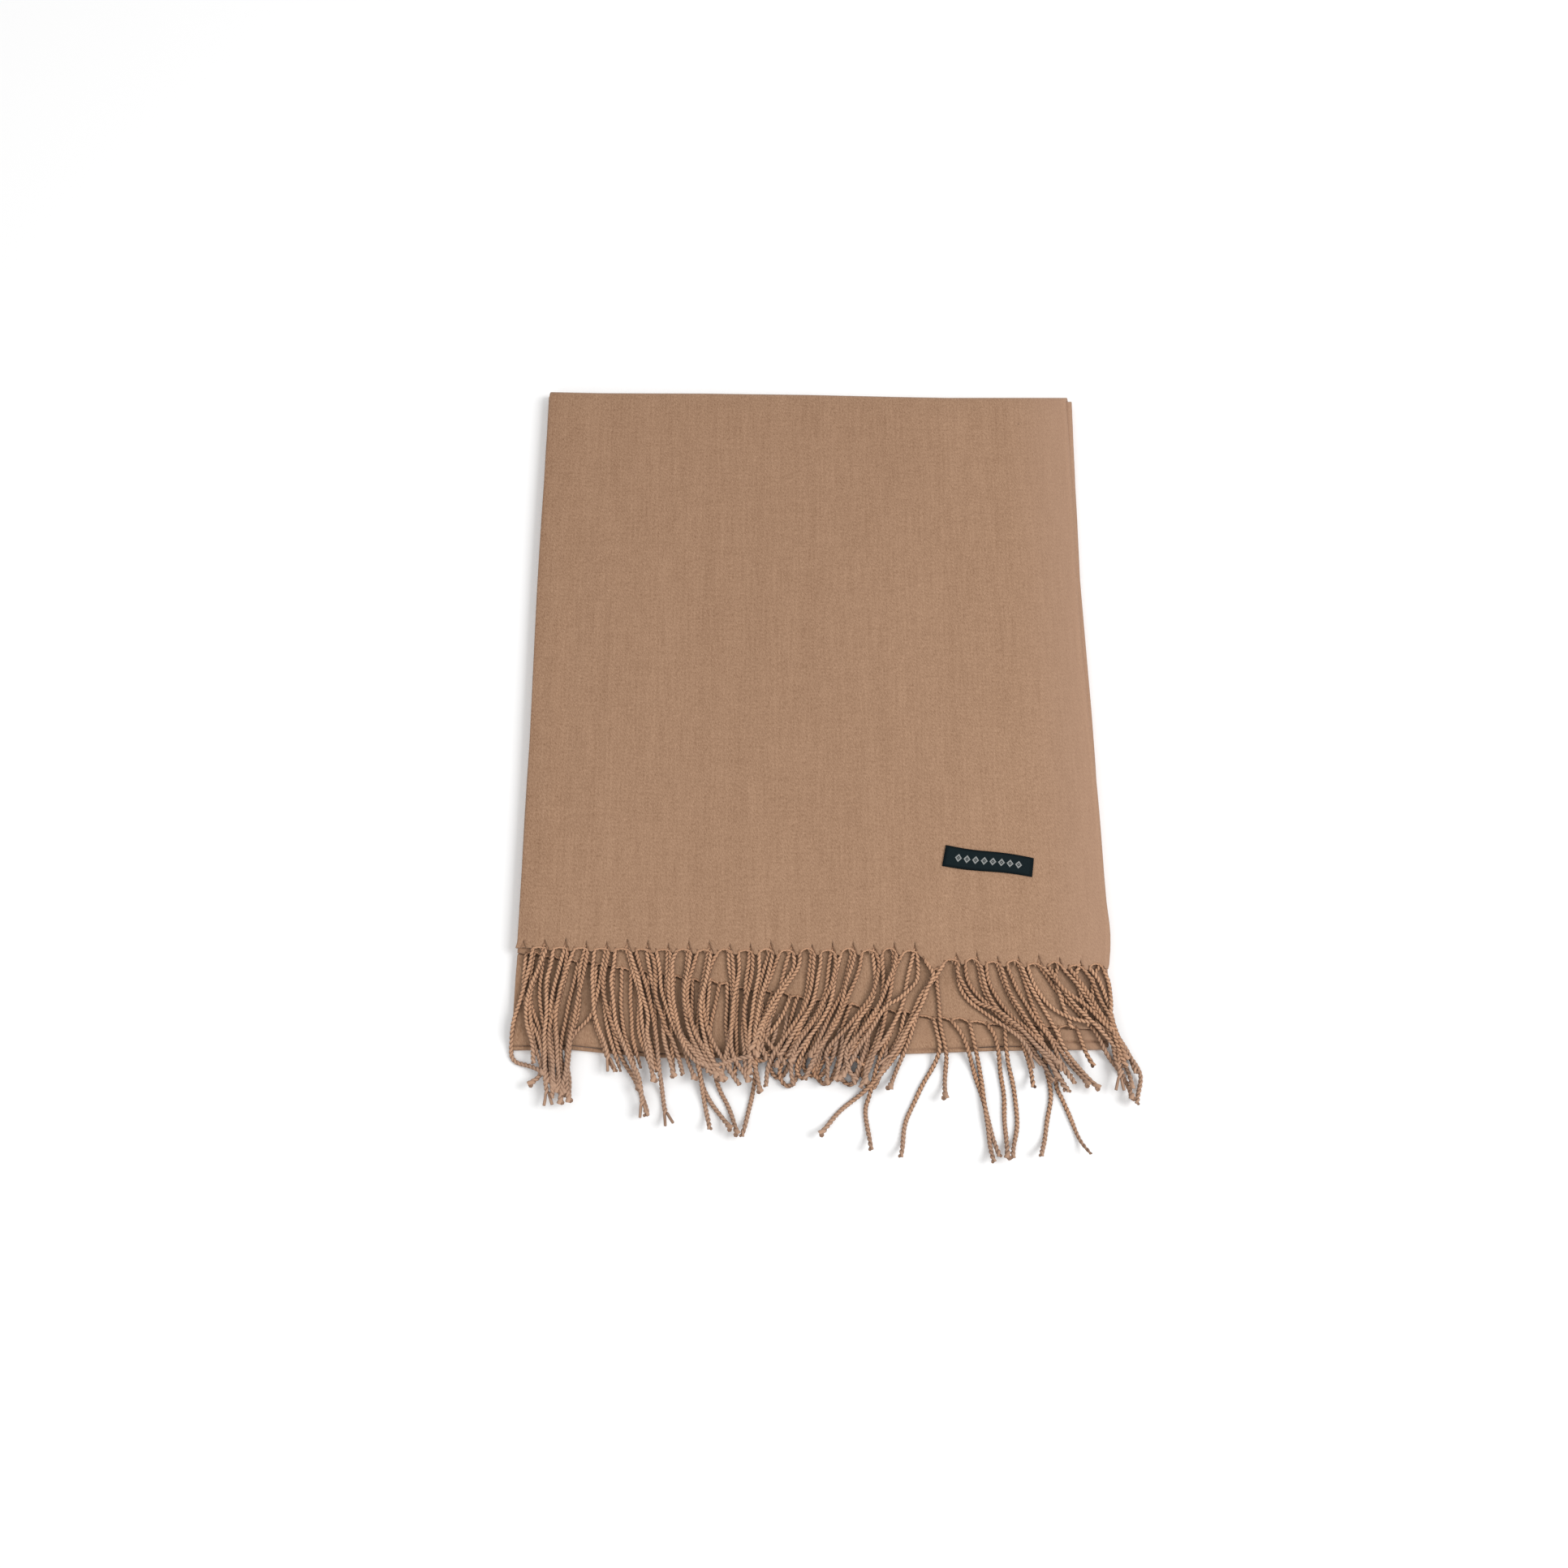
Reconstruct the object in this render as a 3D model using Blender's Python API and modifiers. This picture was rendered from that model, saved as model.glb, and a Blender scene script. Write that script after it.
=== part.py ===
"""A pashmina shawl, folded flat into eight layers, with both fringed ends at the near side.

The cloth is folded in half lengthwise, with that fold at the left, and then twice crosswise. From the top
down lie the upper end, the lower end, and four hidden layers that share one solid. The upper end wraps round
the far fold. The origin is under the middle of the folded cloth, +Y runs from the fringe to the far fold, and
+Z is up.
"""

import math
import random
from collections import namedtuple
from itertools import cycle

import bmesh
import bpy
import numpy as np
from mathutils import Vector

MM = 0.001

# Driving sizes of the cloth, in metres
FOLDED_WIDTH = 0.350
UPPER_HEM_PLACE = -0.166
WALL = 1.0 * MM
GAP = 0.3 * MM
TUCKED_UNDER = 8 * MM
LEFT = -FOLDED_WIDTH / 2

# Heights of the layers: a stack of two hidden pairs, then the lower end's pair, then the upper end's pair
LAYER = WALL + GAP
PAIR = 2 * WALL + GAP
STACK_TOP = 2 * PAIR
LOWER_MIDDLE = STACK_TOP + GAP + PAIR / 2
LOWER_TOP = LOWER_MIDDLE + PAIR / 2
UPPER_MIDDLE = LOWER_TOP + GAP + PAIR / 2
UPPER_TOP = UPPER_MIDDLE + PAIR / 2
FOLD_HEIGHT = UPPER_TOP / 2

# Edges in plan, as (place along the edge, edge), in millimetres from the middle of the cloth and of the upper
# hem
UPPER_HEM = (
    (-176, 5.5), (-130, 4.2), (-90, 3.2), (-45, 2.0), (0, 1.5), (40, 1.5), (65, 1.0), (69, -3.5),
    (100, -5.5), (140, -7.2), (176, -9.0),
)
LOWER_HEM = ((-176, 3.0), (-114, -7.0), (-57, -16.5), (0, -26.5), (69, -37.5), (113, -42.5), (176, -44.5))
NEAR_FOLD = (
    (-176, -53.5), (-142, -52.0), (-120, -56.5), (-90, -59.0), (-40, -59.5), (20, -58.5), (70, -56.5),
    (108, -55.0), (176, -55.5),
)
FAR_FOLD = ((-176, 393.0), (176, 387.0))
UPPER_RIGHT = ((-14, 174.4), (0, 176.8), (11, 178.0), (40, 176.8), (100, 176.0), (270, 173.2), (393, 174.6))
LOWER_RIGHT = ((-62, 171.0), (-30, 174.6), (100, 176.0), (190, 175.2), (270, 175.6), (393, 179.2))
AT_RIGHT_EDGE = None

# The woven label, sewn to the upper end near its hem
LABEL_WIDTH = 54 * MM
LABEL_DEPTH = 12.5 * MM
LABEL_THICKNESS = 0.8 * MM
LABEL_X = 106.7 * MM
LABEL_FROM_HEM = 57.5 * MM
LABEL_TURN = math.radians(-8.4)
LABEL_WAVE = 0.5 * MM

# Each strand of the fringe is drawn out of a narrow strip along its hem
STRIP_DEPTH = 2.5 * MM
STRAND_WIDTH = 2.4 * MM
STRAND_HEIGHT = 2.0 * MM
ROOT_SPAN = 3 * MM
LENGTH_SPREAD = 4 * MM
STATION_SPREAD = 0.9 * MM

# How the strands gather into locks. A lock takes the strands of one stretch of hem, of one length, past
# stations of (sideways drift of the lock's middle, depth below the hem, spread against the roots). All but
# the spread is in millimetres. A strand that turns back under the others ends where it is lost to sight.
Lock = namedtuple("Lock", "start end length stations")
UPPER_LOCKS = (
    Lock(-176, -163, 90, ((-4, 12, 1.0), (-8, 32, 0.8), (-11, 52, 0.6), (-6, 66, 0.7), (10, 74, 0.6))),
    Lock(-163, -131, 88, ((-4, 25, 1.1), (-6, 50, 0.8), (-4, 75, 0.45), (-3, 100, 0.5))),
    Lock(-131, -113, 88, ((-2, 25, 0.9), (6, 50, 0.75), (17, 75, 0.4), (24, 100, 0.4))),
    Lock(-113, -88, 80, ((6, 25, 0.7), (12, 50, 1.0), (18, 75, 1.1), (22, 100, 1.2))),
    Lock(-88, -52, 76, ((-3, 25, 0.7), (3, 50, 0.6), (12, 68, 0.35), (22, 90, 0.4))),
    Lock(-52, -27, 74, ((-1, 25, 0.8), (-4, 50, 0.6), (1, 75, 0.7), (5, 100, 0.8))),
    Lock(-27, -3, 64, ((-9, 25, 0.7), (-15, 48, 0.45), (-9, 68, 0.6), (4, 84, 0.8))),
    Lock(-3, 34, 70, ((-6, 25, 0.85), (-19, 50, 0.85), (-32, 75, 0.7), (-40, 100, 0.7))),
    Lock(34, 64, 84, ((-4, 25, 0.85), (-18, 50, 0.9), (-27, 70, 0.8), (-24, 90, 0.8))),
    Lock(64, 81, 76, ((-9, 22, 0.6), (-20, 48, 0.45), (-31, 75, 0.6), (-36, 100, 0.6))),
    Lock(81, 118, 82, ((7, 20, 1.05), (31, 46, 0.5), (42, 70, 0.5), (46, 95, 0.6))),
    Lock(118, 125, 86, ((8, 18, 1.0), (20, 42, 1.0), (36, 66, 1.0), (44, 90, 1.0))),
    Lock(125, 130, 62, ((7, 14, 1.0), (19, 28, 1.0), (34, 34, 1.0), (47, 42, 1.0), (53, 60, 1.0))),
    Lock(130, 143, 92, ((15, 17, 0.9), (35, 42, 0.8), (49, 64, 0.7), (47, 84, 0.7))),
    Lock(143, 157, 68, ((12, 17, 0.8), (27, 42, 0.5), (27, 64, 0.5), (26, 88, 0.6))),
    Lock(157, 176, 66, ((6, 16, 0.7), (15, 38, 0.4), (22, 58, 0.5), (24, 82, 0.8))),
)
LOWER_LOCKS = (
    Lock(-176, -132, 80, ((-3, 25, 0.8), (1, 50, 0.45), (6, 75, 0.35), (8, 100, 0.4))),
    Lock(-132, -100, 92, ((-1, 25, 0.8), (7, 50, 0.5), (17, 75, 0.3), (20, 100, 0.3))),
    Lock(-100, -78, 88, ((-3, 25, 0.8), (-1, 50, 0.6), (3, 75, 0.4), (6, 100, 0.4))),
    Lock(-78, -50, 92, ((-3, 25, 0.8), (1, 50, 0.4), (10, 75, 0.6), (16, 100, 0.8))),
    Lock(-50, -27, 84, ((-1, 25, 0.7), (0, 50, 0.5), (-4, 75, 0.4), (-6, 100, 0.4))),
    Lock(-27, 24, 84, ((-9, 22, 0.9), (-17, 38, 0.9), (-12, 46, 0.9), (-5, 32, 0.9), (-2, 12, 0.9))),
    Lock(24, 46, 84, ((-8, 20, 0.9), (-14, 34, 0.9), (-8, 42, 0.9), (-2, 28, 0.9), (1, 10, 0.9))),
    Lock(46, 55, 84, ((-8, 25, 1.0), (-19, 50, 1.0), (-19, 75, 1.0), (-17, 100, 1.0))),
    Lock(55, 64, 92, ((-10, 25, 1.0), (-24, 48, 1.0), (-42, 68, 1.0), (-58, 84, 1.0))),
    Lock(64, 75, 82, ((3, 22, 1.0), (-9, 48, 0.8), (-19, 75, 0.8), (-22, 100, 0.8))),
    Lock(75, 97, 82, ((6, 25, 0.5), (11, 50, 0.25), (15, 75, 0.45), (17, 100, 0.6))),
    Lock(97, 118, 79, ((3, 25, 0.55), (6, 50, 0.5), (4, 75, 0.3), (3, 100, 0.3))),
    Lock(118, 153, 70, ((6, 25, 0.5), (8, 45, 0.8), (7, 70, 1.0), (6, 100, 1.2))),
)

# Each fringe: the reach of its strip along the hem, its first root, the steps from root to root and the last
# place for one, all in millimetres. The front strands of the upper hem hang in pairs, and its back strands
# show between.
Fringe = namedtuple("Fringe", "name hem height reach first steps last locks spans seed")
BELOW = -LAYER / 2
ABOVE = LAYER / 2
FRINGES = (
    Fringe("lower_fringe_back", LOWER_HEM, LOWER_MIDDLE + BELOW, (-172, 152), -165.6, (10.45,), 55,
           LOWER_LOCKS, 10, 11),
    Fringe("lower_fringe_front", LOWER_HEM, LOWER_MIDDLE + ABOVE, (-172, 152), -170.3, (10.45,), 150,
           LOWER_LOCKS, 12, 12),
    Fringe("upper_fringe_back", UPPER_HEM, UPPER_MIDDLE + BELOW, (-172, 172), -162.0, (12.2,), 170,
           UPPER_LOCKS, 10, 13),
    Fringe("upper_fringe_front", UPPER_HEM, UPPER_MIDDLE + ABOVE, (-172, 172), -166.1, (8.3, 3.9), 170,
           UPPER_LOCKS, 12, 14),
)

# Strands are laid one on another over a grid of heights, every third one first and then those between
GRID_X = (-0.215, 0.215)
GRID_Y = (-0.330, -0.150)
CELL = 0.5 * MM
BEND_SLACK = 0.2 * MM
LAYING_STRIDE = 3


def along(line, place):
    """The edge's value at this place, read from a line of (place, value) pairs in millimetres."""
    places, values = zip(*line)
    return float(np.interp(place / MM, places, values)) * MM


def edge_y(line, x):
    """The y of a hem or a crosswise fold at x."""
    return UPPER_HEM_PLACE + along(line, x)


def edge_x(line, y):
    """The x of a right edge at y."""
    return along(line, y - UPPER_HEM_PLACE)


def finish(name, bm, material, collection):
    """Makes an object of the bmesh, with outward normals and its material."""
    bmesh.ops.recalc_face_normals(bm, faces=bm.faces)
    mesh = bpy.data.meshes.new(name)
    bm.to_mesh(mesh)
    bm.free()
    mesh.materials.append(material)
    obj = bpy.data.objects.new(name, mesh)
    collection.objects.link(obj)
    return obj


def add_wall(obj, thickness):
    """Gives an open sheet its thickness, half to each side."""
    wall = obj.modifiers.new("wall", "SOLIDIFY")
    wall.thickness = thickness
    wall.offset = 0.0
    wall.use_even_offset = True


def bridge(bm, rows, closed=False):
    """Faces between neighbouring rows of vertices."""
    for low, high in zip(rows, rows[1:]):
        last = len(low) if closed else len(low) - 1
        for i in range(last):
            j = (i + 1) % len(low)
            bm.faces.new((low[i], low[j], high[j], high[i]))


def fold_section(hem):
    """The cloth's U from right edge to right edge, as (place, outward turn) pairs, with a column at each
    corner of the hem, so that the hem keeps its line. The right edge has no place of its own, since it
    varies."""
    fold_steps = 5
    flat = [(AT_RIGHT_EDGE, math.pi / 2)]
    flat += [(place * MM, math.pi / 2) for place, _ in reversed(hem[1:-1])]
    fold = [(LEFT + PAIR / 2, math.pi / 2 + math.pi * i / fold_steps) for i in range(fold_steps + 1)]
    return flat + fold + [(place, -turn) for place, turn in reversed(flat)]


def make_folded_pair(name, hem, stations, right_edge, material, collection):
    """Two layers joined by the fold at the left. A station along the cloth gives y as a function of x, the
    height of the pair's middle, and how far the pair has leant round the far fold."""
    bm = bmesh.new()
    rows = []
    for station, height, lean in stations:
        row = []
        for place, turn in fold_section(hem):
            if place is AT_RIGHT_EDGE:
                x = edge_x(right_edge, station(-LEFT))
            else:
                x = place + math.cos(turn) * LAYER / 2
            offset = math.sin(turn) * LAYER / 2
            y = station(x) + offset * math.sin(lean)
            row.append(bm.verts.new((x, y, height + offset * math.cos(lean))))
        rows.append(row)
    bridge(bm, rows)
    obj = finish(name, bm, material, collection)
    add_wall(obj, WALL)


def make_upper_end(material, collection):
    """The end that lies on top: from its hem to the far fold, round it, and a little way under."""
    radius = UPPER_MIDDLE - FOLD_HEIGHT
    wrap_steps = 6

    def fold_axis(x):
        return edge_y(FAR_FOLD, x) - FOLD_HEIGHT

    def part_way(share):
        return lambda x: edge_y(UPPER_HEM, x) * (1 - share) + fold_axis(x) * share

    def round_fold(lean):
        return lambda x: fold_axis(x) + radius * math.sin(lean)

    def tucked_end(x):
        return fold_axis(x) - TUCKED_UNDER

    stations = [(part_way(share), UPPER_MIDDLE, 0.0) for share in (0.0, 0.04, 0.12, 0.28, 0.5, 0.75)]
    for i in range(wrap_steps + 1):
        lean = math.pi * i / wrap_steps
        stations.append((round_fold(lean), FOLD_HEIGHT + radius * math.cos(lean), lean))
    stations.append((tucked_end, FOLD_HEIGHT - radius, math.pi))
    make_folded_pair("upper_end", UPPER_HEM, stations, UPPER_RIGHT, material, collection)


def make_lower_end(material, collection):
    """The end that lies under the upper one, with its hem askew, so that it shows near the fringe."""
    def far_end(x):
        return edge_y(FAR_FOLD, x) - FOLD_HEIGHT - GAP

    def part_way(share):
        return lambda x: edge_y(LOWER_HEM, x) * (1 - share) + far_end(x) * share

    stations = [(part_way(share), LOWER_MIDDLE, 0.0) for share in (0.0, 0.12, 0.4, 0.7, 1.0)]
    make_folded_pair("lower_end", LOWER_HEM, stations, LOWER_RIGHT, material, collection)


def fold_inset(height, thickness):
    """How far a rounded fold of this thickness stands back from its outermost line, at a height above its
    foot."""
    radius = thickness / 2
    return radius - math.sqrt(max(radius**2 - (height - radius)**2, 0.0))


def make_folded_stack(material, collection):
    """The four hidden layers as one solid: four cloth edges at the right, two folds at the left, one fold
    near. Its lower pair makes room for the upper end's tuck, and its upper pair lies inside the far fold."""
    layer = STACK_TOP / 4
    groove = 0.7 * MM
    lip = 0.2 * MM
    ledge = PAIR + GAP
    step = 0.05 * MM
    heights = {ledge: 0.0, ledge + step: 0.0, STACK_TOP: groove}
    for i in range(4):
        heights |= {i * layer: groove, i * layer + lip: 0.0, (i + 1) * layer - lip: 0.0}
    bm = bmesh.new()
    rings = []
    for height, edge_inset in sorted(heights.items()):
        far_inset = FOLD_HEIGHT + GAP + (TUCKED_UNDER if height <= ledge else 0.0)
        left = LEFT + fold_inset(height % PAIR if height < STACK_TOP else PAIR, PAIR)
        near_inset = fold_inset(height, STACK_TOP)
        right = edge_x(LOWER_RIGHT, edge_y(NEAR_FOLD, -LEFT)) - edge_inset
        far_right = edge_y(FAR_FOLD, -LEFT) - far_inset
        ring = [(x, edge_y(NEAR_FOLD, x) + near_inset) for x in np.linspace(left, right, 12)]
        up_right = np.linspace(ring[-1][1], far_right, 6)[1:]
        ring += [(edge_x(LOWER_RIGHT, y) - edge_inset, y) for y in up_right]
        ring += [(x, edge_y(FAR_FOLD, x) - far_inset) for x in np.linspace(ring[-1][0], left, 4)[1:]]
        ring += [(left, y) for y in np.linspace(ring[-1][1], ring[0][1], 5)[1:-1]]
        rings.append([bm.verts.new((x, y, height)) for x, y in ring])
    bridge(bm, rings, closed=True)
    bm.faces.new(rings[0])
    bm.faces.new(rings[-1])
    finish("folded_stack", bm, material, collection)


def make_label(material, collection):
    """A small woven label that lies on the upper end, turned a little and gently waved."""
    steps = 8
    bm = bmesh.new()
    ahead = Vector((math.cos(LABEL_TURN), math.sin(LABEL_TURN), 0.0))
    across = Vector((-ahead.y, ahead.x, 0.0))
    middle = Vector((LABEL_X, UPPER_HEM_PLACE + LABEL_FROM_HEM, UPPER_TOP + GAP + LABEL_THICKNESS / 2))
    rows = []
    for side in (-LABEL_DEPTH / 2, LABEL_DEPTH / 2):
        row = []
        for share in np.linspace(-0.5, 0.5, steps + 1):
            wave = LABEL_WAVE * math.sin(2 * math.pi * share)
            row.append(bm.verts.new(middle + ahead * (share * LABEL_WIDTH) + across * (side + wave)))
        rows.append(row)
    bridge(bm, rows)
    obj = finish("label", bm, material, collection)
    add_wall(obj, LABEL_THICKNESS)


def smooth_path(points):
    """A Catmull-Rom curve through the points, as many points along it, and the distance to each."""
    ends = [2 * points[0] - points[1], *points, 2 * points[-1] - points[-2]]
    fine = []
    for a, b, c, d in zip(ends, ends[1:], ends[2:], ends[3:]):
        for t in np.linspace(0.0, 1.0, 12, endpoint=False):
            bend = (2 * a - 5 * b + 4 * c - d) * t**2 + (3 * b - a - 3 * c + d) * t**3
            fine.append(b + ((c - a) * t + bend) / 2)
    fine = np.array([*fine, points[-1]])
    run = np.concatenate([[0.0], np.cumsum(np.hypot(*np.diff(fine, axis=0).T))])
    return fine, run


def strand_route(root, hem, fringe, chance):
    """The strand's points in plan, from its root on the hem, past its lock's stations, to its length."""
    lock = next(lock for lock in fringe.locks if lock.start * MM <= root < lock.end * MM)
    middle = (lock.start + lock.end) / 2 * MM
    points = [np.array((root, hem(root)))]
    for drift, depth, spread in lock.stations:
        x = middle + drift * MM + (root - middle) * spread + chance.uniform(-1, 1) * STATION_SPREAD
        points.append(np.array((x, hem(root) - depth * MM + chance.uniform(-1, 1) * STATION_SPREAD)))
    fine, run = smooth_path(points)
    length = min(lock.length * MM + chance.uniform(-1, 1) * LENGTH_SPREAD, run[-1])
    at = [0.0, *np.linspace(ROOT_SPAN, length, fringe.spans)]
    return np.stack([np.interp(at, run, fine[:, 0]), np.interp(at, run, fine[:, 1])], axis=1)


class Pile:
    """The height of all that lies so far, on a grid in plan, so that each strand is laid on what is under
    it."""

    def __init__(self):
        self.xs = np.arange(*GRID_X, CELL)
        self.ys = np.arange(*GRID_Y, CELL)
        self.tops = np.zeros((len(self.xs), len(self.ys)))
        half = STRAND_WIDTH / 2
        slack = CELL * math.sqrt(0.5) + BEND_SLACK
        reach = math.ceil((half + slack) / CELL)
        cells = [(i, j) for i in range(-reach, reach + 1) for j in range(-reach, reach + 1)]
        offsets = {cell: math.hypot(*cell) * CELL - slack for cell in cells}
        self.foot = np.array([cell for cell in cells if offsets[cell] <= half])
        slopes = [0.5 - max(offset, 0.0) / half for offset in offsets.values() if offset <= half]
        self.profile = STRAND_HEIGHT * np.array(slopes)

    def cover(self, near_edge, right_edge, top):
        """Lays a cloth panel, given its near edge and its right edge as functions."""
        near = np.array([near_edge(x) for x in self.xs])[:, None] - CELL
        right = np.array([right_edge(y) for y in self.ys])[None, :] + CELL
        inside = (self.xs[:, None] >= LEFT - CELL) & (self.xs[:, None] <= right) & (self.ys[None, :] >= near)
        self.tops[inside] = np.maximum(self.tops[inside], top)

    def cells(self, point):
        """The grid cells under a strand that passes this point."""
        at = np.rint((point - (self.xs[0], self.ys[0])) / CELL).astype(int) + self.foot
        return at[:, 0], at[:, 1]

    def lay(self, route, root_height):
        """Heights of the route's points, each clear of all that lies under the two spans that meet there."""
        shares = np.linspace(0.0, 1.0, 20)
        spans = [[a + (b - a) * share for share in shares] for a, b in zip(route, route[1:])]
        under = [max(self.tops[self.cells(point)].max() for point in span) for span in spans]
        rests = [max(pair) for pair in zip(under, under[1:] + under[-1:])]
        heights = [root_height] + [rest + GAP + STRAND_HEIGHT / 2 for rest in rests]
        for span, low, high in zip(spans, heights, heights[1:]):
            for point, share in zip(span, shares):
                cells = self.cells(point)
                self.tops[cells] = np.maximum(self.tops[cells], low + (high - low) * share + self.profile)
        return heights


def roots_of(fringe):
    """The places along the hem from which the fringe's strands hang."""
    places = [fringe.first]
    for step in cycle(fringe.steps):
        if places[-1] + step > fringe.last:
            return [place * MM for place in places]
        places.append(places[-1] + step)


def strand_ring(bm, route, heights, i):
    """The three corners of a strand at a point of its route: two below, one on top."""
    ahead = route[min(i + 1, len(route) - 1)] - route[i - 1]
    side = np.array((-ahead[1], ahead[0])) / np.hypot(*ahead) * STRAND_WIDTH / 2
    low = heights[i] - STRAND_HEIGHT / 2
    corners = ((route[i] - side, low), (route[i] + side, low), (route[i], low + STRAND_HEIGHT))
    return [bm.verts.new((x, y, z)) for (x, y), z in corners]


def make_fringe(fringe, pile, material, collection):
    """A narrow strip along a hem, with a three-sided strand drawn out of its front at each root."""
    chance = random.Random(fringe.seed)
    bm = bmesh.new()
    low, high = fringe.height - WALL / 2, fringe.height + WALL / 2
    reach = [place * MM for place in fringe.reach]

    def back(x):
        return edge_y(fringe.hem, x) - GAP

    def front(x):
        return back(x) - STRIP_DEPTH

    def upright(x, y):
        return bm.verts.new((x, y, low)), bm.verts.new((x, y, high))

    pile.cover(front, lambda y: reach[1], low - GAP)
    roots = roots_of(fringe)
    routes = [strand_route(root, front, fringe, chance) for root in roots]
    heights = {}
    for first in range(LAYING_STRIDE):
        for k in range(first, len(roots), LAYING_STRIDE):
            heights[k] = pile.lay(routes[k], fringe.height)

    stops = (reach[0], *roots, reach[1])
    corners = {place * MM for place, _ in fringe.hem if reach[0] < place * MM < reach[1]}
    backs = {x: upright(x, back(x)) for x in sorted(corners | set(stops))}
    ends = [upright(x, front(x)) for x in reach]
    feet = []
    for k, (root, route) in enumerate(zip(roots, routes)):
        corners = ((root - STRAND_WIDTH / 2, low), (root + STRAND_WIDTH / 2, low), (root, high))
        foot = [bm.verts.new((x, front(x), z)) for x, z in corners]
        rings = [foot] + [strand_ring(bm, route, heights[k], i) for i in range(1, len(route))]
        bridge(bm, rings, closed=True)
        bm.faces.new(rings[-1])
        bm.faces.new((foot[0], foot[1], backs[root][0]))
        feet.append(foot)

    edges = [(None, ends[0][0], ends[0][1]), *feet, (ends[1][0], None, ends[1][1])]
    for left, right, start, end in zip(edges, edges[1:], stops, stops[1:]):
        behind = [backs[x] for x in sorted(backs) if start <= x <= end]
        bm.faces.new((left[1], right[0], right[2], left[2]))
        bm.faces.new((left[2], right[2], *(high_back for _, high_back in reversed(behind))))
        bm.faces.new((right[0], left[1], *(low_back for low_back, _ in behind)))
        bridge(bm, behind)
    for (low_front, high_front), x in zip(ends, reach):
        bm.faces.new((low_front, high_front, backs[x][1], backs[x][0]))
    finish(fringe.name, bm, material, collection)


def fabric(name, colour, roughness):
    material = bpy.data.materials.new(name)
    material.use_nodes = True
    shader = material.node_tree.nodes["Principled BSDF"]
    shader.inputs["Base Color"].default_value = (*colour, 1.0)
    shader.inputs["Roughness"].default_value = roughness
    shader.inputs["Metallic"].default_value = 0.0
    return material


def main():
    for obj in list(bpy.data.objects):
        bpy.data.objects.remove(obj)
    collection = bpy.data.collections.new("pashmina_shawl")
    bpy.context.scene.collection.children.link(collection)
    make_folded_stack(fabric("camel_cloth_folded", (0.330, 0.195, 0.120), 0.9), collection)
    make_lower_end(fabric("camel_cloth_lower", (0.375, 0.225, 0.138), 0.85), collection)
    make_upper_end(fabric("camel_cloth_upper", (0.393, 0.235, 0.144), 0.85), collection)
    make_label(fabric("dark_green_weave", (0.006, 0.013, 0.014), 0.7), collection)

    def lower_right(y):
        return edge_x(LOWER_RIGHT, y)

    pile = Pile()
    pile.cover(lambda x: edge_y(NEAR_FOLD, x), lower_right, STACK_TOP)
    for fringe in FRINGES:
        if fringe.hem is UPPER_HEM:
            pile.cover(lambda x: edge_y(LOWER_HEM, x) - GAP - STRIP_DEPTH, lower_right, LOWER_TOP)
        make_fringe(fringe, pile, fabric(fringe.name + "_cord", (0.430, 0.265, 0.165), 0.85), collection)


main()
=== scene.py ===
"""A pashmina shawl, folded flat: a length of twill with a twisted fringe at both hems and a woven label.

The cloth is one sheet from hem to hem. It is folded in half lengthwise, with that fold at the left, and then
twice crosswise, so that both hems come out at the near side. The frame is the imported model's: metres, the
origin under the middle of the folded cloth, +Y from the fringe to the far fold, +Z up.
"""

import math
import random
from collections import namedtuple
from itertools import cycle

import bmesh
import bpy
import numpy as np
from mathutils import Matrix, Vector


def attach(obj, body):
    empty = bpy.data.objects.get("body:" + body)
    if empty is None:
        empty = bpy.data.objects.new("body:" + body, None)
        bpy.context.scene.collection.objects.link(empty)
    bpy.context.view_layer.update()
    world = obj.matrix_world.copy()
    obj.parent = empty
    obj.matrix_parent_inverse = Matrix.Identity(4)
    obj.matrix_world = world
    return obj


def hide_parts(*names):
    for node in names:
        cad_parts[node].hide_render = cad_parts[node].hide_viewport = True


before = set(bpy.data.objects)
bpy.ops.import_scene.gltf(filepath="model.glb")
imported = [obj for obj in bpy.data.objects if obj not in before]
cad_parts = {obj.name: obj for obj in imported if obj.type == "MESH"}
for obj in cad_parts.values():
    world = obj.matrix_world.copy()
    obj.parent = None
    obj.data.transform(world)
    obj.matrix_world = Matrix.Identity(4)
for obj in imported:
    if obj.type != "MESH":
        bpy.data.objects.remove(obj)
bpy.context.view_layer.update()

MM = 0.001

# Driving sizes of the cloth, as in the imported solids
FOLDED_WIDTH = 0.350
UPPER_HEM_PLACE = -0.166
WALL = 1.0 * MM
GAP = 0.3 * MM
LEFT = -FOLDED_WIDTH / 2
LAYER = WALL + GAP
PAIR = 2 * WALL + GAP
LOWEST_MIDDLE = PAIR / 2
INNER_MIDDLE = 3.5 * MM
STACK_TOP = 2 * PAIR
LOWER_MIDDLE = STACK_TOP + GAP + PAIR / 2
LOWER_TOP = LOWER_MIDDLE + PAIR / 2
UPPER_MIDDLE = LOWER_TOP + GAP + PAIR / 2
UPPER_TOP = UPPER_MIDDLE + PAIR / 2
FOLD_HEIGHT = UPPER_TOP / 2

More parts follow.
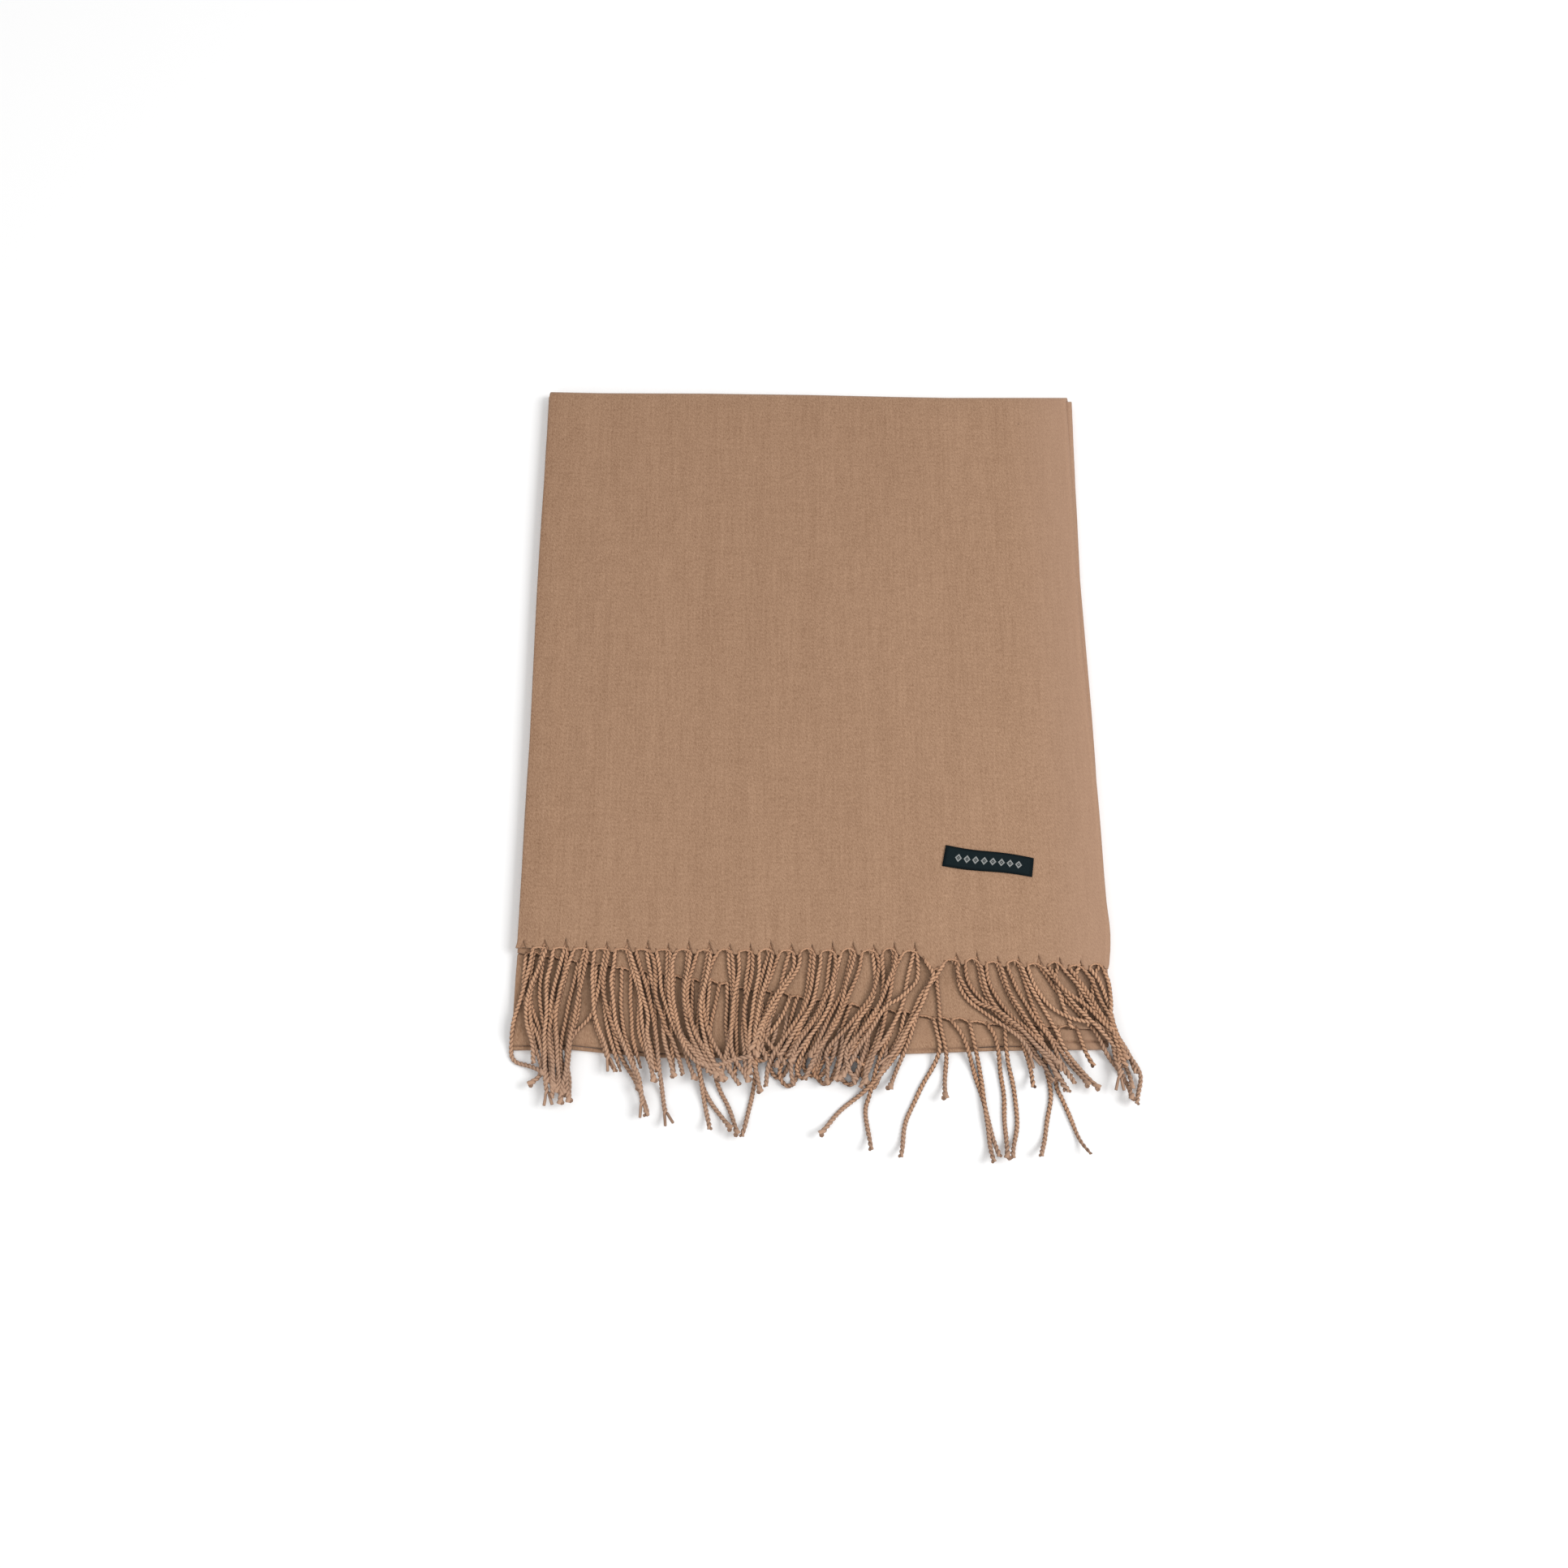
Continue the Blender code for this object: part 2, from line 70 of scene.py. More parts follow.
# Edges in plan, as (place along the edge, edge), in millimetres from the middle of the cloth and of the
# upper hem
UPPER_HEM = (
    (-176, 5.5), (-130, 4.2), (-90, 3.2), (-45, 2.0), (0, 1.5), (40, 1.5), (65, 1.0), (69, -3.5),
    (100, -5.5), (140, -7.2), (176, -9.0),
)
LOWER_HEM = ((-176, 3.0), (-114, -7.0), (-57, -16.5), (0, -26.5), (69, -37.5), (113, -42.5), (176, -44.5))
NEAR_FOLD = (
    (-176, -54.4), (-142, -54.1), (-120, -56.5), (-90, -59.0), (-40, -59.5), (20, -58.5), (70, -57.0),
    (108, -55.8), (176, -55.5),
)
FAR_FOLD = ((-176, 393.1), (-140, 392.2), (-70, 391.7), (0, 390.2), (60, 388.2), (95, 387.3), (176, 387.1))
UPPER_RIGHT = (
    (-16, 171.6), (-13, 173.4), (-10, 174.8), (-6, 176.0), (2, 177.2), (10, 178.0), (18, 178.0), (30, 177.2),
    (50, 176.6), (100, 176.0), (170, 174.2), (270, 173.2), (393, 174.6),
)
LOWER_RIGHT = (
    (-62, 171.0), (-30, 174.6), (30, 175.6), (100, 176.0), (190, 175.2), (270, 175.6), (340, 177.6),
    (393, 179.2),
)

# The woven label, sewn to the upper end near its hem
LABEL_WIDTH = 54 * MM
LABEL_DEPTH = 12.7 * MM
LABEL_THICKNESS = 0.8 * MM
LABEL_X = 106.7 * MM
LABEL_FROM_HEM = 57.5 * MM
LABEL_TURN = math.radians(-8.4)
LABEL_WAVE = 0.5 * MM
LABEL_TAPER = 0.12
LABEL_SLANT = 0.8 * MM
LABEL_DROOP = 0.25 * MM
LABEL_LIFT = 0.10 * MM
LABEL_SHOWN = 0.7
LABEL_STEPS = (54, 12)
LOZENGE_PITCH = 5.2 * MM
LOZENGE_HALF_WIDTH = 2.1 * MM
LOZENGE_HALF_DEPTH = 2.5 * MM
LOZENGES_EACH_SIDE = 4

# The upper hem is slit between its gathered threads and puckers there, and each hem rises in an arch from
# cord to cord
SLIT_PITCH = 12.2 * MM
FIRST_SLIT = -171.3 * MM
CLOSED_SLITS = (20, 28)
TOP_COLUMNS_A_SLIT = 8
UNDER_COLUMNS_A_SLIT = 7
SLIT_HEIGHT = 6.8 * MM
SLIT_HALF_WIDTH = 2.1 * MM
LEAST_OPENING = 0.02 * MM
LAST_COLUMN_FROM_SELVAGE = 2.5 * MM
WIDE_GAP = 5.0 * MM
PAIR_DROP = 1.3 * MM
ARCH_FADE = 5.0 * MM
BACK_RECESS = 0.5 * MM
BACK_LIFT = 0.35 * MM
TONGUE_FADE = 8.0 * MM
SHOWN_WALL = 0.85 * MM
PUCKER_DEPTH = 0.45 * MM
PUCKER_WIDTH = 1.7 * MM
PUCKER_LENGTH = 12.0 * MM

# Soft creases in the stack: from where to where, how wide and how high, all in millimetres. Their lines
# wander a little, and long low swells lie between them.
Crease = namedtuple("Crease", "start end width height")
CREASES = (
    Crease((-151, 12), (-149, 388), 8.0, -0.55),
    Crease((-163, -5), (-161, 240), 6.0, 0.30),
    Crease((150, 45), (147, 386), 7.0, -0.45),
    Crease((161, -8), (163, 150), 6.0, 0.35),
    Crease((-40, 150), (-52, 365), 14.0, -0.25),
    Crease((38, 60), (44, 250), 12.0, 0.25),
    Crease((-120, 196), (70, 203), 9.0, -0.20),
    Crease((66, 2), (63, 62), 5.0, 0.45),
    Crease((78, -3), (88, 40), 5.0, -0.35),
    Crease((-96, 6), (-104, 44), 6.0, 0.25),
    Crease((10, 3), (16, 36), 5.0, -0.25),
    Crease((128, -4), (140, 34), 6.0, -0.30),
)
CREASE_WANDER = 2.5 * MM
SWELL = 0.30 * MM

# Near its fold the stack is pinched: it drops past a groove to a lip along the fold, wider at the right
LIP_DROP = 2.0 * MM
LIP_EDGE = 1.3 * MM
GROOVE_DEPTH = 2.6 * MM
GROOVE_WIDTH = 0.8 * MM
LIP = ((-176, 3.9), (60, 3.4), (122, 3.9), (136, 6.0), (176, 6.4))

# Between that lip and the lower hem the cloth is puffed up towards the hem, and drops again under it
PUFF = 1.2 * MM
PUFF_REACH = 5.0 * MM
PUFF_DROP = 1.6 * MM
PUFF_END = 0.6 * MM

# From beside the upper hem to the near fold, the lower layers stand out a little at the left
STAND_OUT = 1.1 * MM
STAND_OUT_FROM = -0.152
STAND_OUT_OVER = 0.018

# The right edge comes to its own line over this last stretch. Both sides sway a little, the left one over
# this first stretch, and the under layer's right edge sways more.
RIGHT_STRETCH = 0.055
LEFT_STRETCH = 0.030
SIDE_SWAY = 0.5 * MM
UNDER_SWAY = 0.6 * MM

# How the strands gather into locks. A lock takes the strands of one stretch of hem, of one length, past
# stations of (sideways drift of the lock's middle, depth below the hem, spread against the roots). All but
# the spread is in millimetres. A strand that turns back under the others ends where it is lost to sight.
# Strands may stop this share short of the stations' depths.
Lock = namedtuple("Lock", "start end length stations short", defaults=(0.08,))
UPPER_LOCKS = (
    Lock(-176, -163, 90, ((-4, 12, 1.0), (-8, 32, 0.8), (-11, 52, 0.6), (-6, 66, 0.7), (10, 74, 0.6))),
    Lock(-163, -131, 88, ((-4, 25, 1.1), (-6, 50, 0.8), (-4, 75, 0.45), (-3, 100, 0.5))),
    Lock(-131, -113, 88, ((-2, 25, 0.9), (6, 50, 0.75), (17, 75, 0.4), (24, 100, 0.4))),
    Lock(-113, -88, 80, ((6, 25, 0.7), (12, 50, 1.0), (18, 75, 1.1), (22, 100, 1.2))),
    Lock(-88, -52, 76, ((-3, 25, 0.7), (3, 50, 0.6), (12, 68, 0.35), (22, 90, 0.4))),
    Lock(-52, -27, 74, ((-1, 25, 0.8), (-4, 50, 0.6), (1, 75, 0.7), (5, 100, 0.8))),
    Lock(-27, -3, 64, ((-9, 25, 0.7), (-15, 48, 0.45), (-9, 68, 0.6), (4, 84, 0.8))),
    Lock(-3, 34, 70, ((-6, 25, 0.85), (-19, 50, 0.85), (-32, 75, 0.7), (-40, 100, 0.7))),
    Lock(34, 64, 84, ((-4, 25, 0.85), (-18, 50, 0.9), (-27, 70, 0.8), (-24, 90, 0.8))),
    Lock(64, 81, 76, ((-9, 22, 0.6), (-20, 48, 0.45), (-31, 75, 0.6), (-36, 100, 0.6))),
    Lock(81, 118, 82, ((7, 20, 1.05), (31, 46, 0.5), (42, 70, 0.5), (46, 95, 0.6))),
    Lock(118, 125, 86, ((8, 18, 1.0), (20, 42, 1.0), (36, 66, 1.0), (44, 90, 1.0))),
    Lock(125, 130, 62, ((7, 14, 1.0), (19, 28, 1.0), (34, 34, 1.0), (47, 42, 1.0), (53, 60, 1.0))),
    Lock(130, 143, 92, ((15, 17, 0.9), (35, 42, 0.8), (49, 64, 0.7), (47, 84, 0.7))),
    Lock(143, 157, 68, ((12, 17, 0.8), (27, 42, 0.5), (27, 64, 0.5), (26, 88, 0.6))),
    Lock(157, 176, 66, ((6, 16, 0.7), (15, 38, 0.4), (22, 58, 0.5), (24, 82, 0.8))),
)
LOWER_LOCKS = (
    Lock(-176, -132, 80, ((-3, 25, 0.8), (1, 50, 0.45), (6, 75, 0.35), (8, 100, 0.4))),
    Lock(-132, -100, 92, ((-1, 25, 0.8), (7, 50, 0.5), (17, 75, 0.3), (20, 100, 0.3))),
    Lock(-100, -78, 88, ((-3, 25, 0.8), (-1, 50, 0.6), (3, 75, 0.4), (6, 100, 0.4))),
    Lock(-78, -50, 92, ((-3, 25, 0.8), (1, 50, 0.4), (10, 75, 0.6), (16, 100, 0.8))),
    Lock(-50, -27, 84, ((-1, 25, 0.7), (0, 50, 0.5), (-4, 75, 0.4), (-6, 100, 0.4))),
    Lock(-27, 24, 84, ((-9, 22, 0.9), (-17, 38, 0.9), (-12, 46, 0.9), (-5, 32, 0.9), (-2, 12, 0.9)), 0.35),
    Lock(24, 46, 84, ((-8, 20, 0.9), (-14, 34, 0.9), (-8, 42, 0.9), (-2, 28, 0.9), (1, 10, 0.9)), 0.35),
    Lock(46, 55, 84, ((-8, 25, 1.0), (-19, 50, 1.0), (-19, 75, 1.0), (-17, 100, 1.0))),
    Lock(55, 64, 92, ((-10, 25, 1.0), (-24, 48, 1.0), (-42, 68, 1.0), (-58, 84, 1.0))),
    Lock(64, 75, 82, ((3, 22, 1.0), (-9, 48, 0.8), (-19, 75, 0.8), (-22, 100, 0.8))),
    Lock(75, 97, 82, ((6, 25, 0.5), (11, 50, 0.25), (15, 75, 0.45), (17, 100, 0.6))),
    Lock(97, 118, 79, ((3, 25, 0.55), (6, 50, 0.5), (4, 75, 0.3), (3, 100, 0.3))),
    Lock(118, 156, 70, ((6, 25, 0.5), (8, 45, 0.8), (7, 70, 1.0), (6, 100, 1.2))),
)

# Strands with a route of their own, by root, in millimetres from the middle of the cloth and of the upper
# hem. The last column names how the strand ends there; one with no name goes straight on to its lock's
# length. A route belongs to the strand whose root is this close to its own.
Route = namedtuple("Route", "root points tip")
SAME_ROOT = 0.05 * MM
UPPER_FRONT_ROUTES = (
    Route(-166.1, ((-169, -13), (-174, -34), (-177, -52), (-175, -60), (-166, -64), (-156, -69)), "flared"),
    Route(-157.8, ((-162, -7), (-168, -24), (-168, -38), (-164, -51), (-162, -63)), "cut"),
    Route(-153.9, ((-155, -6), (-157, -16), (-156, -36), (-157, -48), (-156, -66), (-153, -87)), "split"),
    Route(-141.7, ((-147, -13), (-149, -21), (-150, -36), (-149, -58), (-146, -86)), "flared"),
    Route(-129.5, ((-130, -6), (-130, -17), (-127, -39), (-121, -54), (-117, -67)), "split"),
    Route(-117.3, ((-118, -6), (-119, -16), (-116, -36), (-110, -53), (-102, -70), (-98, -94)), "split"),
    Route(-109.0, ((-106, -5), (-102, -17), (-97, -36), (-97, -46), (-93, -67)), "cut"),
    Route(-105.1, ((-102, -6), (-96, -25), (-93, -44), (-90, -61), (-87, -84), (-83, -98)), "split"),
    Route(-96.8, ((-94, -4), (-92, -25), (-86, -43), (-82, -50), (-76, -70)), "cut"),
    Route(-92.9, ((-91, -6), (-88, -25), (-81, -43), (-75, -56), (-68, -76)), None),
    Route(-80.7, ((-83, -6), (-82, -28), (-78, -47), (-69, -62), (-58, -64), (-47, -61), (-35, -60)), "cut"),
    Route(-68.5, ((-71, -7), (-74, -25), (-70, -43), (-62, -57), (-54, -70)), None),
    Route(-56.3, ((-60, -5), (-64, -21), (-63, -39), (-57, -54), (-50, -66), (-43, -76)), "cut"),
    Route(-48.0, ((-47, -11), (-47, -32), (-49, -51), (-51, -60)), None),
    Route(-44.1, ((-44, -11), (-47, -32), (-48, -48), (-46, -60), (-38, -74)), "flared"),
    Route(-35.8, ((-36, -11), (-40, -32), (-39, -53), (-35, -65), (-31, -80)), "flared"),
    Route(-31.9, ((-32, -11), (-36, -32), (-37, -60)), None),
    Route(-19.7, ((-24, -9), (-31, -28), (-32, -38), (-28, -49), (-16, -64)), "cut"),
    Route(-11.4, ((-12, -8), (-22, -24), (-28, -39), (-33, -58), (-33, -72)), None),
    Route(-7.5, ((-9, -7), (-20, -25), (-28, -38), (-36, -56)), None),
    Route(0.8, ((0, -8), (-4, -28), (-16, -47), (-26, -64), (-28, -77)), "cut"),
    Route(4.7, ((4, -8), (-1, -30), (-11, -46), (-20, -58), (-30, -68)), None),
    Route(13.0, ((13, -8), (8, -25), (-2, -42), (-13, -59), (-12, -77)), "cut"),
    Route(29.1, ((27, -9), (19, -28), (10, -46), (0, -61), (-5, -73)), "cut"),
    Route(37.4, ((39, -7), (34, -24), (22, -40), (8, -56), (8, -63), (7, -76)), "flared"),
    Route(49.6, ((47, -9), (39, -29), (30, -43), (19, -56), (20, -68), (25, -74)), "cut"),
    Route(53.5, ((48, -9), (44, -29), (39, -47), (32, -65), (27, -78)), "cut"),
    Route(61.8, ((62, -9), (60, -17), (50, -26), (42, -32), (30, -50), (16, -71)), "flared"),
    Route(65.7, ((68, -6), (71, -13), (67, -21), (63, -30), (58, -39), (50, -52), (40, -66)), None),
    Route(74.0, ((73, -12), (73, -21), (74, -39), (77, -56), (77, -66), (75, -84)), "flared"),
    Route(77.9, ((75, -9), (71, -15), (65, -22), (60, -31), (54, -44), (46, -57)), None),
    Route(86.2, ((86, -13), (96, -28), (111, -37), (125, -50), (131, -55)), None),
    Route(90.1, ((91, -14), (96, -23), (108, -36), (124, -47), (136, -60)), None),
    Route(102.3, ((104, -17), (113, -33), (125, -45), (131, -52)), None),
    Route(114.5, ((119, -18), (127, -34), (137, -49), (145, -66), (150, -76)), "cut"),
    Route(122.8, ((128, -20), (137, -36), (145, -52), (154, -66), (164, -79)), "flared"),
    Route(
        126.7, ((131, -19), (140, -32), (151, -39), (165, -42), (173, -48), (177, -59), (178, -72)), "loose",
    ),
    Route(138.9, ((146, -20), (161, -32), (172, -45), (182, -57), (188, -68), (189, -75), (186, -88)), "cut"),
    Route(151.1, ((157, -17), (167, -34), (176, -50), (177, -68), (176, -80)), "split"),
    Route(159.4, ((164, -16), (170, -31), (176, -45), (181, -62)), "flared"),
    Route(163.3, ((169, -17), (173, -32), (178, -46), (185, -59), (187, -70)), "cut"),
    Route(171.6, ((174, -17), (174, -29), (173, -42), (177, -55), (181, -66)), "loose"),
)
UPPER_BACK_ROUTES = (
    Route(-159.6, ((-163, -9), (-167, -28), (-163, -50), (-158, -67), (-164, -76)), "flared"),
    Route(-147.4, ((-152, -16), (-154, -33), (-152, -55), (-151, -80)), None),
    Route(-135.2, ((-138, -9), (-138, -33), (-141, -50), (-143, -69), (-141, -85)), "flared"),
    Route(-123.0, ((-125, -8), (-127, -24), (-130, -35), (-139, -46), (-144, -56)), "cut"),
    Route(145.4, ((143, -14), (146, -28), (151, -44)), "cut"),
    Route(157.6, ((155, -14), (158, -28), (161, -43)), "cut"),
    Route(169.8, ((165, -15), (164, -28), (166, -42)), "cut"),
)
LOWER_BACK_ROUTES = (
    Route(-123.8, ((-122, -36), (-117, -54), (-112, -68)), "covered"),
    Route(-113.35, ((-112, -38), (-108, -54), (-104, -64)), "covered"),
    Route(-102.9, ((-102, -38), (-100, -52), (-97, -62)), "covered"),
    Route(-92.45, ((-93, -38), (-92, -52), (-90, -62)), "covered"),
    Route(-82.0, ((-83, -40), (-83, -54), (-81, -68)), "covered"),
    Route(-71.55, ((-71, -42), (-68, -56), (-64, -66)), "covered"),
    Route(-61.1, ((-62, -42), (-60, -56), (-57, -64)), "covered"),
    Route(-50.65, ((-51, -42), (-50, -56), (-50, -67)), "covered"),
    Route(-40.2, ((-40, -44), (-40, -56), (-41, -64)), "covered"),
    Route(-29.75, ((-31, -44), (-33, -56), (-35, -66)), "covered"),
    Route(53.85, ((50, -47), (43, -60), (37, -68)), "covered"),
)
LOWER_FRONT_ROUTES = (
    Route(-128.5, ((-128, -36), (-122, -54), (-115, -68)), "cut"),
    Route(-107.6, ((-107, -38), (-104, -54), (-100, -66)), "covered"),
    Route(-97.15, ((-97, -38), (-95, -54), (-91, -68)), "cut"),
    Route(-86.7, ((-87, -40), (-86, -54), (-83, -64)), "covered"),
    Route(-76.25, ((-72, -45), (-66, -68), (-60, -85), (-48, -101)), "flared"),
    Route(-65.8, ((-68, -40), (-67, -60), (-65, -77), (-63, -88), (-60, -101)), "cut"),
    Route(-55.35, ((-60, -45), (-58, -66), (-55, -77), (-50, -88), (-44, -104)), "flared"),
    Route(-44.9, ((-45, -42), (-45, -56), (-46, -70)), "cut"),
    Route(-34.45, ((-35, -45), (-34, -66), (-35, -80), (-39, -93), (-42, -105)), "cut"),
    Route(49.15, ((44, -48), (36, -66), (32, -82), (30, -92), (32, -113)), "cut"),
    Route(59.6, ((56, -45), (42, -66), (29, -79), (14, -92), (3, -104)), "flared"),
    Route(70.05, ((72, -47), (73, -56), (65, -73), (54, -94), (48, -117)), "cut"),
    Route(80.5, ((87, -48), (93, -66), (99, -90), (105, -117)), "cut"),
    Route(90.95, ((93, -49), (97, -73), (100, -101), (102, -120)), "cut"),
    Route(101.4, ((106, -49), (109, -71), (110, -99), (110, -118)), "flared"),
    Route(111.85, ((112, -54), (115, -75), (117, -96), (113, -118)), "cut"),
    Route(122.3, ((121, -49), (126, -66), (127, -78)), "cut"),
    Route(132.75, ((134, -59), (137, -80), (133, -103), (129, -117)), "cut"),
    Route(143.2, ((141, -73), (144, -84), (151, -104), (157, -116)), "thin"),
    Route(153.65, ((155, -48), (158, -56), (162, -66)), "cut"),
)

# How a strand ends: how much further its plies part, how much thicker they get, and over what length. A
# strand of a lock that ends this far behind the near fold lies under the others, and its tip thins out
# there.
Tip = namedtuple("Tip", "parted thicker length")
TIPS = {
    "cut": Tip(0.15, 0.10, 4 * MM),
    "flared": Tip(0.45, 0.85, 5 * MM),
    "split": Tip(2.90, 0.05, 9 * MM),
    "thin": Tip(-0.30, -0.35, 30 * MM),
    "loose": Tip(0.90, 0.12, 8 * MM),
    "covered": Tip(-0.40, -0.45, 12 * MM),
}
USUAL_TIPS = ("cut", "cut", "flared", "flared", "flared", "loose", "split")
COVERED_FROM = 6 * MM

# Where strands hang: the first root along the hem, the steps from root to root and the last place for one.
# A hem arches between the roots of its front strands, except over narrow gaps, as high as its line of
# (place, rise) gives. It has a longer tongue where two of its cords are pulled into one, with its place,
# depth and reach to each side. All in millimetres.
Roots = namedtuple("Roots", "first steps last")
Tongue = namedtuple("Tongue", "place depth reach")
Hem = namedtuple("Hem", "line roots rise tongues", defaults=((),))
LOWER_RISE = ((-176, 2.3), (176, 2.3))
UPPER_RISE = ((-176, 1.2), (-90, 1.5), (-50, 2.4), (-10, 3.0), (176, 3.0))
LOWER = Hem(LOWER_HEM, Roots(-170.3, (10.45,), 155), LOWER_RISE)
UPPER = Hem(UPPER_HEM, Roots(-166.1, (8.3, 3.9), 172), UPPER_RISE, (Tongue(70.8, 8.8, 8.0),))

# The fringe of each layer at each hem. The back strands start further inside their hem, which hides their
# heads.
Fringe = namedtuple("Fringe", "name hem height roots tuck locks routes seed")
FRONT_TUCK = 1.6 * MM
BACK_TUCK = 3.6 * MM
LOWER_BACK = Fringe(
    "lower_fringe_back", LOWER, LOWER_MIDDLE - LAYER / 2, Roots(-165.6, (10.45,), 55), BACK_TUCK, LOWER_LOCKS,
    LOWER_BACK_ROUTES, 11,
)
LOWER_FRONT = Fringe(
    "lower_fringe_front", LOWER, LOWER_MIDDLE + LAYER / 2, LOWER.roots, FRONT_TUCK, LOWER_LOCKS,
    LOWER_FRONT_ROUTES, 12,
)
UPPER_BACK = Fringe(
    "upper_fringe_back", UPPER, UPPER_MIDDLE - LAYER / 2, Roots(-159.6, (12.2,), 170), BACK_TUCK, UPPER_LOCKS,
    UPPER_BACK_ROUTES, 13,
)
UPPER_FRONT = Fringe(
    "upper_fringe_front", UPPER, UPPER_MIDDLE + LAYER / 2, UPPER.roots, FRONT_TUCK, UPPER_LOCKS,
    UPPER_FRONT_ROUTES, 14,
)

# Each fringe draws its routes from its own seed, and its plies and its rim from that seed and these. Its
# strands are laid in rounds, each of every third one.
SHAPING_SEED = 100
RIM_SEED = 200
LAYING_ROUNDS = 3

# A lock's stations are measured from under the hem's strip. Stations and lengths vary by this much, and a
# lock's strands reach at most this share of its depths.
STRIP_DEPTH = 2.8 * MM
STATION_SPREAD = 0.9 * MM
LENGTH_SPREAD = 4 * MM
LONGEST_REACH = 1.05

# The sideways sway of a strand, in millimetres: its (least, most) reach and (least, most) length of a wave
# over 2 pi. It starts from nothing at the root.
Sway = namedtuple("Sway", "reach wave")
LOCK_SWAYS = (Sway((0.5, 1.8), (9, 16)), Sway((0.15, 0.40), (3.5, 5.5)))
ROUTE_SWAYS = (Sway((0.1, 0.5), (9, 16)), Sway((0.15, 0.35), (3.5, 5.5)))
SWAY_OVER = 15 * MM

# A strand is two plies twisted round each other: close at its head, looser and duller towards its end
PLY_RADIUS = 0.84 * MM
TWIST_RADIUS = 0.60 * MM
TWIST_PITCH = 5.2 * MM
CORD_STEP = 0.72 * MM
PLY_SIDES = 6
ROUTE_STEP = 1.3 * MM
CURVE_PARTS = 12
HEAD_LENGTH = 4.0 * MM
LOOSE_LENGTH = 26 * MM
DULL_FROM = 45 * MM
DULL_OVER = 30 * MM

# A strand lies on what is under it, pressed down to this share of its height above the cloth, and sags
# between the highest things
BED_RADIUS = 1.15 * MM
PRESSED = 0.78
SAG_ROUNDS = 40
SAG_A_ROUND = 0.012 * MM

# The rolled rim of a hem is a thin strand that lies close, with shallow grooves and little painted shade
RIM_RADIUS = 0.46 * MM
RIM_SPREAD = 0.42
RIM_PITCH = 4.4 * MM
RIM_RISE = 0.30 * MM
RIM_OUT = 0.45 * MM
RIM_UNEVEN = 0.15 * MM
RIM_TINT = (0.3, 1.0)
RIM_PAINTED_SHADE = 0.16

# The grid of heights that strands are laid on, in plan
GRID_X = (-0.215, 0.215)
GRID_Y = (-0.330, -0.140)
CELL = 0.5 * MM


# ---------------------------------------------------------------- node trees

class Value:
    """A number from a node. Python's operators on it add Math nodes to its tree."""

    def __init__(self, tree, socket):
        self.tree = tree
        self.socket = socket

    def maths(self, operation, *values):
        return self.tree.value("ShaderNodeMath", {"operation": operation}, dict(enumerate(values)))

    def __add__(self, other):
        return self.maths("ADD", self, other)

    def __radd__(self, other):
        return self.maths("ADD", other, self)

    def __sub__(self, other):
        return self.maths("SUBTRACT", self, other)

    def __rsub__(self, other):
        return self.maths("SUBTRACT", other, self)

    def __mul__(self, other):
        return self.maths("MULTIPLY", self, other)

    def __rmul__(self, other):
        return self.maths("MULTIPLY", other, self)

    def __truediv__(self, other):
        return self.maths("DIVIDE", self, other)

    def __rtruediv__(self, other):
        return self.maths("DIVIDE", other, self)

    def __lt__(self, other):
        return self.maths("LESS_THAN", self, other)

    def __gt__(self, other):
        return self.maths("GREATER_THAN", self, other)

    def __abs__(self):
        return self.maths("ABSOLUTE", self)

    def sine(self):
        return self.maths("SINE", self)

    def cosine(self):
        return self.maths("COSINE", self)

    def fraction(self):
        return self.maths("FRACT", self)

    def rising(self, low, high):
        """0 below low, 1 above high and a smooth rise between."""
        limits = {"Value": self, "From Min": low, "From Max": high}
        return self.tree.value("ShaderNodeMapRange", {"interpolation_type": "SMOOTHSTEP"}, limits, "Result")


class Nodes:
    """A node tree of any kind, written by one method that takes a node's type, settings and sockets."""

    def __init__(self, tree):
        self.tree = tree

    def node(self, kind, settings=None, inputs=None):
        node = self.tree.nodes.new(kind)
        for name, setting in (settings or {}).items():
            setattr(node, name, setting)
        for key, given in (inputs or {}).items():
            if isinstance(given, Value):
                self.tree.links.new(given.socket, node.inputs[key])
            elif isinstance(given, bpy.types.NodeSocket):
                self.tree.links.new(given, node.inputs[key])
            else:
                node.inputs[key].default_value = given
        return node

    def value(self, kind, settings=None, inputs=None, output=0):
        return Value(self, self.node(kind, settings, inputs).outputs[output])

    def vector(self, operation, *vectors, scale=None):
        inputs = dict(enumerate(vectors))
        if scale is not None:
            inputs["Scale"] = scale
        return self.node("ShaderNodeVectorMath", {"operation": operation}, inputs).outputs["Vector"]


# The sockets of a Mix node that mixes colours, by number
MIX_FACTOR = 0
MIX_FIRST = 6
MIX_SECOND = 7
MIX_RESULT = 2


